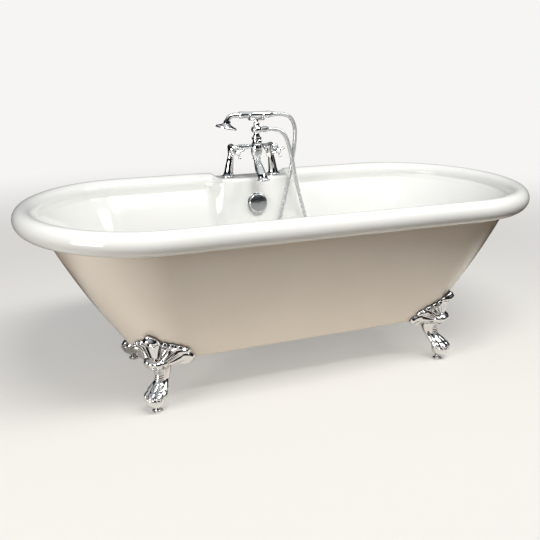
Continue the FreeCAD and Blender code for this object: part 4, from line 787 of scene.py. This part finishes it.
# %% [markdown]
# The hose is a spiral of steel strip under a clear silver sleeve. The spiral shows
# as fine rings about 3 mm apart, drawn along the hose's own map.

# %% Silver hose
RING_PITCH = 3.0
RING_HEIGHT = 0.12
hose_finish, tree, shader, place = finish(
    "silver_sleeved_hose", {"Metallic": 0.55, "Coat Weight": 0.5}
)
own_map = add(tree, "ShaderNodeUVMap", uv_map="along").outputs[0]
split = add(tree, "ShaderNodeSeparateXYZ", links={0: own_map})
turns = add(
    tree,
    "ShaderNodeMath",
    {1: 2 * math.pi / (RING_PITCH * MM)},
    {0: split.outputs["Y"]},
    operation="MULTIPLY",
)
rings = add(tree, "ShaderNodeMath", links={0: turns.outputs[0]}, operation="SINE")
level = add(
    tree,
    "ShaderNodeMapRange",
    {"From Min": -1.0, "From Max": 1.0},
    {"Value": rings.outputs[0]},
).outputs[0]
tinted(tree, shader, level, "#CFD1D2", "#DCDEDF")
tree.links.new(uneven(tree, place, 12, 0.2, 0.3), shader.inputs["Roughness"])
ribs = add(
    tree,
    "ShaderNodeBump",
    {"Strength": 0.35, "Distance": RING_HEIGHT * MM},
    {"Height": level},
)
tree.links.new(ribs.outputs[0], shader.inputs["Normal"])


# %% Give every piece its finish
def wear(piece, material):
    """The piece has this one material all over."""
    piece.data.materials.clear()
    piece.data.materials.append(material)


by_slot = {
    "white_acrylic": white_acrylic,
    "cream_gloss": cream_gloss,
    "board": sealed_board,
    "chrome": chrome,
    "overflow_casing": moulded_plastic,
    "steel": zinc_steel,
    "brass": machined_brass,
    "rubber": black_rubber,
    "porcelain": porcelain,
    "grip": chrome,
    "hose_metal": hose_finish,
}
for part in frame["record"]["subparts"]:
    wear(nodes[part["node"]], by_slot[part["material_slot"]])
for name, node in nodes.items():
    if name.startswith("foot_") and name != "foot_bolts":
        wear(node, cast_chrome)
    if name in ("overflow_plate", "overflow_knob"):
        wear(node, satin_chrome)
wear(hose, hose_finish)
wear(moulding, white_acrylic)
wear(outer_wall, cream_gloss)

# %% [markdown]
# ## The feet
#
# Each foot is one chromed casting in two sculpted forms. The leg is a stack of egg
# shapes: a ball gripped by toes, a ringed shank with a deep smooth heel, and a
# scalloped collar. Above it a leaf of ribbed lobes lies on the bath like an open
# hand, thick at the knee and thin at its curled tips. All four feet are mirror
# images, so one foot is worked out in its own frame: out from the bath, across, up.

# %% The body's face in the foot's frame
FOOT_X, FOOT_Y = np.mean(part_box("leveller_front_right"), axis=0)[:2] * (1, -1)
DIAGONAL = math.sqrt(0.5)
FACE_SEARCH = -0.25, 0.20
HALVINGS = 26


def within_body(out, across, height, margin=0.0006):
    """Whether points of the front right foot's frame are inside the bath's body."""
    x = FOOT_X + (out + across) * DIAGONAL
    y = FOOT_Y + (out - across) * DIAGONAL
    length, width, straight = np.moveaxis(body_plan(height), -1, 0)
    beyond = np.maximum(np.abs(x) - straight, 0) / (length + margin - straight)
    return beyond ** 2 + (y / (width + margin)) ** 2 <= 1


def face_of_body(across, height):
    """How far out the body's face is at each point, found by halving a span."""
    low, high = (np.full(across.shape, limit) for limit in FACE_SEARCH)
    for _ in range(HALVINGS):
        middle = (low + high) / 2
        inside = within_body(middle, across, height)
        low, high = np.where(inside, middle, low), np.where(inside, high, middle)
    return (low + high) / 2


# %% [markdown]
# The leg's table gives, for heights in millimetres, how far out its front and its
# heel stand and half its width. Ridges for the toes, with two knuckles and a claw
# each, rings up the front of the shank, and the lobes of the collar are added to
# those egg shapes as functions of the heading and the height.

# %% Leg
LEG = MM * np.array([
    # height, front, heel, half width
    (17.5, 14, 0, 7),
    (20.0, 23, -9, 15),
    (25.5, 30, -17, 22.5),
    (34.0, 36, -22, 28.5),
    (46.0, 38, -24.5, 31),
    (56.0, 35.5, -24.5, 29.5),
    (65.0, 27, -29, 26),
    (75.0, 15, -36, 22),
    (85.0, 3, -45, 19),
    (95.0, -5, -53, 17.5),
    (107.0, -8.5, -60, 17.5),
    (119.0, -9.5, -65, 19),
    (130.0, -6, -66, 21),
    (138.0, -1, -63, 23),
    (144.0, 9, -58, 28),
    (150.0, 17, -55, 34),
    (158.0, 24, -48, 38),
    (166.0, 27, -40, 37),
    (174.0, 20, -32, 30),
    (181.0, 8, -24, 20),
])
# Stretches of its rings: from one height to another, in so many rings.
LEG_STEPS = (17.5, 96, 66), (96, 140, 60), (140, 181, 34)
EVEN_OVER = 7
AROUND_LEG = 192
EGG_POWER = 2.2
TOES = np.radians([-108, -50, 0, 50, 108])
TOE_SPREAD = np.array([1.5, 1.0, 1.0, 1.0, 1.5])
TOE_HEIGHT = np.array([
    # height, how far off the ball
    (40, 0), (43, 2.2), (50, 4.6), (55, 4.2), (60, 7.6), (66, 7.2), (70, 5.4), (76, 8.2),
    (82, 6.6), (90, 3.0), (98, 0),
])
TOE_WIDTH = np.array([
    # height, half width in degrees
    (40, 2.5), (46, 7), (54, 11), (57, 17), (76, 19), (98, 24),
])
# Heights in millimetres where the shank's rings, the collar's lobes and their hanging
# edge begin, are full, start to fade and end.
RING_ZONE = 97, 101, 133, 138
LOBE_ZONE = 138, 145, 166, 178
HANG_ZONE = 134, 142, 148, 168
RING_STEP = 6.4 * MM
RING_DEPTH = 1.5 * MM
LOBE_COUNT = 9
LOBE_DEPTH = 4.2 * MM
LOBE_HANG = 7 * MM
HEEL_WIDER = 0.32
OFF_BODY = 0.0004
BORE_TOP = 0.036
BORE = (
    # height and radius of the leveller's bore, then of the boss round its mouth
    (BORE_TOP, 0.0054), (0.0115, 0.0054), (0.0105, 0.0064), (0.0105, 0.0086),
    (0.0115, 0.0096), (0.0145, 0.0096),
)


def from_table(value, table):
    """The second column of a table where its first column reaches the value."""
    return np.interp(value, table[:, 0], table[:, 1])


def within(low, full, fading, high, z):
    """0 up to the low height, 1 from full to fading, and 0 again from the high one,
    with smooth steps between them. The four heights are in millimetres."""
    return smooth_step(low * MM, full * MM, z) * (1 - smooth_step(fading * MM, high * MM, z))


def toes(z, heading):
    """How far the toes stand off the ball: a round ridge for each toe, and a crease
    at each of its sides that is a quarter as deep as the ridge is high."""
    width = np.radians(from_table(z / MM, TOE_WIDTH))[:, :, None] * TOE_SPREAD
    away = np.abs((heading[None, :, None] - TOES + np.pi) % (2 * np.pi) - np.pi) / width
    ridge = np.sqrt(np.maximum(1 - (away * 0.78) ** 2, 0)).max(axis=2)
    crease = np.exp(-((away - 1.35) / 0.3) ** 2).max(axis=2)
    return from_table(z / MM, TOE_HEIGHT) * MM * (ridge - 0.25 * crease)


def leg_rings():
    """The rings of the leg: the bore for the leveller, its boss, and the stack. The
    table is evened out over seven heights. A ring of the stack is a superellipse,
    (|cos| / deep)^p + (|sin| / half)^p = 1 / radius^p, with the relief on top."""
    heading = np.linspace(-np.pi, np.pi, AROUND_LEG, endpoint=False)
    cos, sin = np.cos(heading), np.sin(heading)
    z = np.unique(np.concatenate([np.linspace(*steps) for steps in LEG_STEPS])) * MM
    front, heel, half = (
        np.convolve(np.pad(np.interp(z, LEG[:, 0], column), EVEN_OVER // 2, mode="edge"),
                    np.ones(EVEN_OVER) / EVEN_OVER, mode="valid")[:, None]
        for column in LEG[:, 1:].T
    )
    z = z[:, None]
    middle, deep = (front + heel) / 2, (front - heel) / 2
    inverse = (np.abs(cos) / deep) ** EGG_POWER + (np.abs(sin) / half) ** EGG_POWER
    radius = 1 / inverse ** (1 / EGG_POWER) + toes(z, heading)

    in_front = 1 - smooth_step(math.radians(42), math.radians(62), np.abs(heading))
    ring = np.abs(np.sin(np.pi * z / RING_STEP)) ** 0.6 - 0.5
    radius = radius + RING_DEPTH * within(*RING_ZONE, z) * in_front * ring
    lobe = np.sqrt(np.abs(np.sin(heading * LOBE_COUNT / 2 + np.pi / 2)))
    radius = radius + LOBE_DEPTH * within(*LOBE_ZONE, z) * (lobe - 0.75)
    not_behind = 1 - smooth_step(1.9, 2.4, np.abs(heading))
    height = z + LOBE_HANG * within(*HANG_ZONE, z) * (0.6 - lobe) * not_behind

    out = middle + radius * cos
    heel_share = smooth_step(80 * MM, 100 * MM, z) * smooth_step(-0.2, 0.8, -cos)
    across = radius * sin * (1 + HEEL_WIDER * heel_share)
    wall = face_of_body(across, np.maximum(height, BODY_LOW))
    out = np.where(height > BODY_LOW, np.maximum(out, wall + OFF_BODY), out)
    bore = np.array([lifted(np.column_stack([r * cos, r * sin]), level) for level, r in BORE])
    return np.concatenate([bore, np.stack([out, across, height], axis=2)])


leg = leg_rings()
leg_points, leg_faces = capped(leg, (0.0, 0.0, BORE_TOP), leg[-1].mean(axis=0))
print("leg", len(leg_points), "points")

# %% [markdown]
# The leaf is drawn in polar form about the knee. Its lobes are numbered from the
# bottom up by their heading, the same on both sides. Across a lobe the surface is a
# round rib with a sharp groove at each side; along it the rib rises to a curled tip.

# %% Leaf crest
KNEE_HEIGHT = 0.172
GROOVES = (-90, -40, 8, 26, 39, 52, 66, 114)
RIB_BEND = 13
LEAST_THICK = 1.5 * MM
BACK_THICK = 0.8 * MM
LEAF_AROUND = 300
OUTLINE = np.array([
    # heading from level, reach
    (-90, 34), (-55, 36), (-36, 46), (-24, 64), (-14, 79), (-2, 85), (8, 84), (20, 86),
    (33, 83), (46, 78), (58, 73), (68, 72), (78, 84), (90, 90),
])


def across_lobe(level):
    """How far across its lobe a heading is: 0 at one groove and 1 at the next."""
    return np.interp(level, GROOVES, np.arange(len(GROOVES))) % 1


def round_rib(share):
    """The height of a rib at a share of its width: half an ellipse."""
    return np.sqrt(np.maximum(1 - (2 * share - 1) ** 2, 0))


def oval(across, height, middle, half_width, half_height):
    """1 over an oval with its middle at a height, and 0 well outside it."""
    return np.exp(-((across / half_width) ** 2 + ((height - middle) / half_height) ** 2) ** 2)


def leaf(rho, heading):
    """Across, up and thickness for a polar grid: rho from the knee to the rim, heading
    in radians from level. Ribs bend upwards a little towards their roots. A cup with
    a hollow in it stands near the tip of the top lobe."""
    level = 90 - np.abs(np.degrees(heading) - 90)
    level = np.where(level < -90, -180 - level, level)
    lobe = across_lobe(level - RIB_BEND * (1 - rho) * np.cos(np.radians(level)))
    rib, rim_rib = round_rib(lobe), round_rib(across_lobe(level))
    reach = from_table(level, OUTLINE) * MM * (0.86 + 0.14 * rim_rib ** 0.8)
    across = rho * reach * np.cos(heading)
    height = KNEE_HEIGHT + rho * reach * np.sin(heading)
    swell = 5 * MM + 43 * MM * (1 - smooth_step(-0.22, 1.0, rho))
    ribs = 8.5 * MM * smooth_step(0.10, 0.55, rho) * (rib - 0.62)
    curl = 7 * MM * smooth_step(0.70, 0.93, rho) * rib - 5 * MM * smooth_step(0.93, 1.0, rho)
    vein = -1.8 * MM * smooth_step(0.3, 0.6, rho) * np.exp(-((lobe - 0.5) / 0.10) ** 2)
    cup = 12 * MM * oval(across, height, 0.244, 0.019, 0.014)
    hollow = 13 * MM * oval(across, height, 0.2425, 0.0105, 0.0075)
    return across, height, np.maximum(swell + ribs + curl + vein + cup - hollow, LEAST_THICK)


def on_body(across, height, thick):
    """Points that thick above the body's face, along its own normal there."""
    near = 1 * MM
    out = face_of_body(across, height)
    by_across = face_of_body(across + near, height) - face_of_body(across - near, height)
    by_height = face_of_body(across, height + near) - face_of_body(across, height - near)
    normal = np.stack([np.full(out.shape, 2 * near), -by_across, -by_height], axis=-1)
    normal /= np.linalg.norm(normal, axis=-1, keepdims=True)
    return np.stack([out, across, height], axis=-1) + thick[..., None] * normal


leaf_heading = np.linspace(-np.pi / 2, 1.5 * np.pi, LEAF_AROUND, endpoint=False)[None, :]
front_share = np.concatenate([np.linspace(0.02, 0.85, 44), np.linspace(0.86, 1.0, 16)])[:, None]
back_share = np.array([0.985, 0.96, 0.8, 0.5, 0.2, 0.02])[:, None]
leaf_front = on_body(*leaf(front_share, leaf_heading))
back_across, back_height, _ = leaf(back_share, leaf_heading)
leaf_back = on_body(back_across, back_height, np.full(back_across.shape, BACK_THICK))
leaf_all = np.concatenate([leaf_front, leaf_back])
leaf_points, leaf_faces = capped(leaf_all, leaf_all[0].mean(axis=0), leaf_all[-1].mean(axis=0))
print("leaf", len(leaf_points), "points")

# %% The four feet
casting_points = np.concatenate([leg_points, leaf_points])
casting_faces = leg_faces + [[corner + len(leg_points) for corner in face] for face in leaf_faces]
out, across, height = casting_points.T
for end, side_y in (("front", -1), ("back", 1)):
    for hand, side_x in (("left", -1), ("right", 1)):
        placed = np.column_stack([
            side_x * (FOOT_X + (out + across) * DIAGONAL),
            side_y * (FOOT_Y + (out - across) * DIAGONAL),
            height,
        ])
        mirrored = side_x * side_y > 0
        corners = [face[::-1] for face in casting_faces] if mirrored else casting_faces
        foot = new_piece(f"claw_foot_{end}_{hand}", placed, corners)
        wear(foot, cast_chrome)
        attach(foot, "tub")
        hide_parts(f"foot_{end}_{hand}")
print("claw foot", len(casting_faces), "faces")

# %% [markdown]
# ## The room
#
# A plain pale floor runs out into a pale surround. What the bath mirrors is another
# matter: the surround is dark low down and pale overhead, and the floor darkens away
# from the bath, so the chrome has something dark to mirror, as it does in any real
# room. Three broad soft lamps light the bath at a plain level.

# %% Floor
FLOOR_HALF = 14.0
SURROUND = "#F6F5F3"
floor_corners = FLOOR_HALF * np.array([(-1, -1, 0), (1, -1, 0), (1, 1, 0), (-1, 1, 0)])
floor = new_piece("floor", floor_corners, [(0, 1, 2, 3)])
floor_finish, tree, place = blank("pale_floor")
by_eye = add(tree, "ShaderNodeLightPath").outputs["Is Camera Ray"]


def distance(squash, near, far, least=0.0):
    """From least at one distance from the middle of the floor to 1 at another, with
    the distance first squashed along x and y."""
    spot = add(tree, "ShaderNodeVectorMath", {1: squash}, {0: place}, operation="MULTIPLY")
    away = add(tree, "ShaderNodeVectorMath", links={0: spot.outputs[0]}, operation="LENGTH")
    return add(
        tree,
        "ShaderNodeMapRange",
        {"From Min": near, "From Max": far, "To Min": least},
        {"Value": away.outputs["Value"]},
        interpolation_type="SMOOTHSTEP",
    ).outputs[0]


# Light and mirrors meet a floor that is pale under the bath and dark round it.
beyond = distance((0.62, 1.15, 0.0), 0.64, 0.98)
lit = add(
    tree,
    "ShaderNodeMix",
    {6: colour("#F4F0EA"), 7: colour("#43352A")},
    {0: beyond},
    data_type="RGBA",
)
# The camera sees one plain tone, which fades into the surround. Even near the bath a
# share of 0.35 of it is a glow in the surround's tone: painted light that lifts the
# bath's shadow on the floor.
seen = add(
    tree,
    "ShaderNodeMix",
    {7: colour("#DBD9D5")},
    {0: by_eye, 6: lit.outputs[2]},
    data_type="RGBA",
)
fade = distance((1.0, 1.0, 1.0), 1.6, 4.5, least=0.35)
fade = add(tree, "ShaderNodeMath", links={0: fade, 1: by_eye}, operation="MULTIPLY")
matt = add(tree, "ShaderNodeBsdfDiffuse", {"Roughness": 0.5}, {"Color": seen.outputs[2]})
surround_glow = add(tree, "ShaderNodeEmission", {"Color": colour(SURROUND), "Strength": 1.0})
merge = add(
    tree,
    "ShaderNodeMixShader",
    links={0: fade.outputs[0], 1: matt.outputs[0], 2: surround_glow.outputs[0]},
)
add(tree, "ShaderNodeOutputMaterial", links={"Surface": merge.outputs[0]})
wear(floor, floor_finish)

# %% Surround
# Steps of height and colour: what mirrors see, and what lights rough surfaces.
MIRRORED = [(0.0, "#2A241F"), (0.06, "#17181B"), (0.34, "#1F2125"), (0.50, "#7D8084"),
            (0.80, "#E4E6E8")]
SOFT = [(0.0, "#16110D"), (0.25, "#241E19"), (0.55, "#7A7978"), (0.85, "#9A9EA3")]


def sky(tree, up, steps):
    """A background whose colour follows the height of the view's direction."""
    band = add(tree, "ShaderNodeValToRGB", links={0: up})
    stops = band.color_ramp.elements
    for stop, (position, code) in zip((stops[0], stops[1]), (steps[0], steps[-1])):
        stop.position, stop.color = position, colour(code)
    for position, code in steps[1:-1]:
        stops.new(position).color = colour(code)
    return add(
        tree,
        "ShaderNodeBackground",
        {"Strength": 1.0},
        {"Color": band.outputs["Color"]},
    ).outputs[0]


world = bpy.data.worlds.new("surround")
bpy.context.scene.world = world
world.use_nodes = True
tree = world.node_tree
tree.nodes.clear()
direction = add(tree, "ShaderNodeNewGeometry").outputs["Position"]
up = add(tree, "ShaderNodeSeparateXYZ", links={0: direction}).outputs["Z"]
path = add(tree, "ShaderNodeLightPath")
behind = add(tree, "ShaderNodeBackground", {"Color": colour(SURROUND), "Strength": 1.0})
lighting = add(
    tree,
    "ShaderNodeMixShader",
    links={0: path.outputs["Is Glossy Ray"], 1: sky(tree, up, SOFT), 2: sky(tree, up, MIRRORED)},
)
whole = add(
    tree,
    "ShaderNodeMixShader",
    links={0: path.outputs["Is Camera Ray"], 1: lighting.outputs[0], 2: behind.outputs[0]},
)
add(tree, "ShaderNodeOutputWorld", links={"Surface": whole.outputs[0]})


# %% Lamps
def lamp(name, at, towards, size, power, code):
    """A broad rectangular lamp that looks from one point to another."""
    data = bpy.data.lights.new(name, "AREA")
    data.shape = "RECTANGLE"
    data.size, data.size_y = size
    data.energy = power
    data.color = colour(code)[:3]
    holder = bpy.data.objects.new(name, data)
    x, y, z = np.array(towards) - at
    holder.location = at
    holder.rotation_euler = (math.atan2(math.hypot(x, y), -z), 0.0, math.atan2(-x, y))
    bpy.context.scene.collection.objects.link(holder)


lamp("window_lamp", (-3.0, -1.4, 0.9), (0, 0, 0.3), (1.4, 1.2), 52, "#FFFDF8")
lamp("key_lamp", (0.1, -1.65, 3.15), (0.1, -0.35, 0.4), (2.0, 0.7), 92, "#FFFEFA")
lamp("right_lamp", (2.2, -1.4, 2.8), (0.3, 0, 0.3), (1.0, 1.0), 30, "#FFFBF4")

bpy.context.scene.view_settings.view_transform = "Standard"

# %% Last update of the scene
bpy.context.view_layer.update()
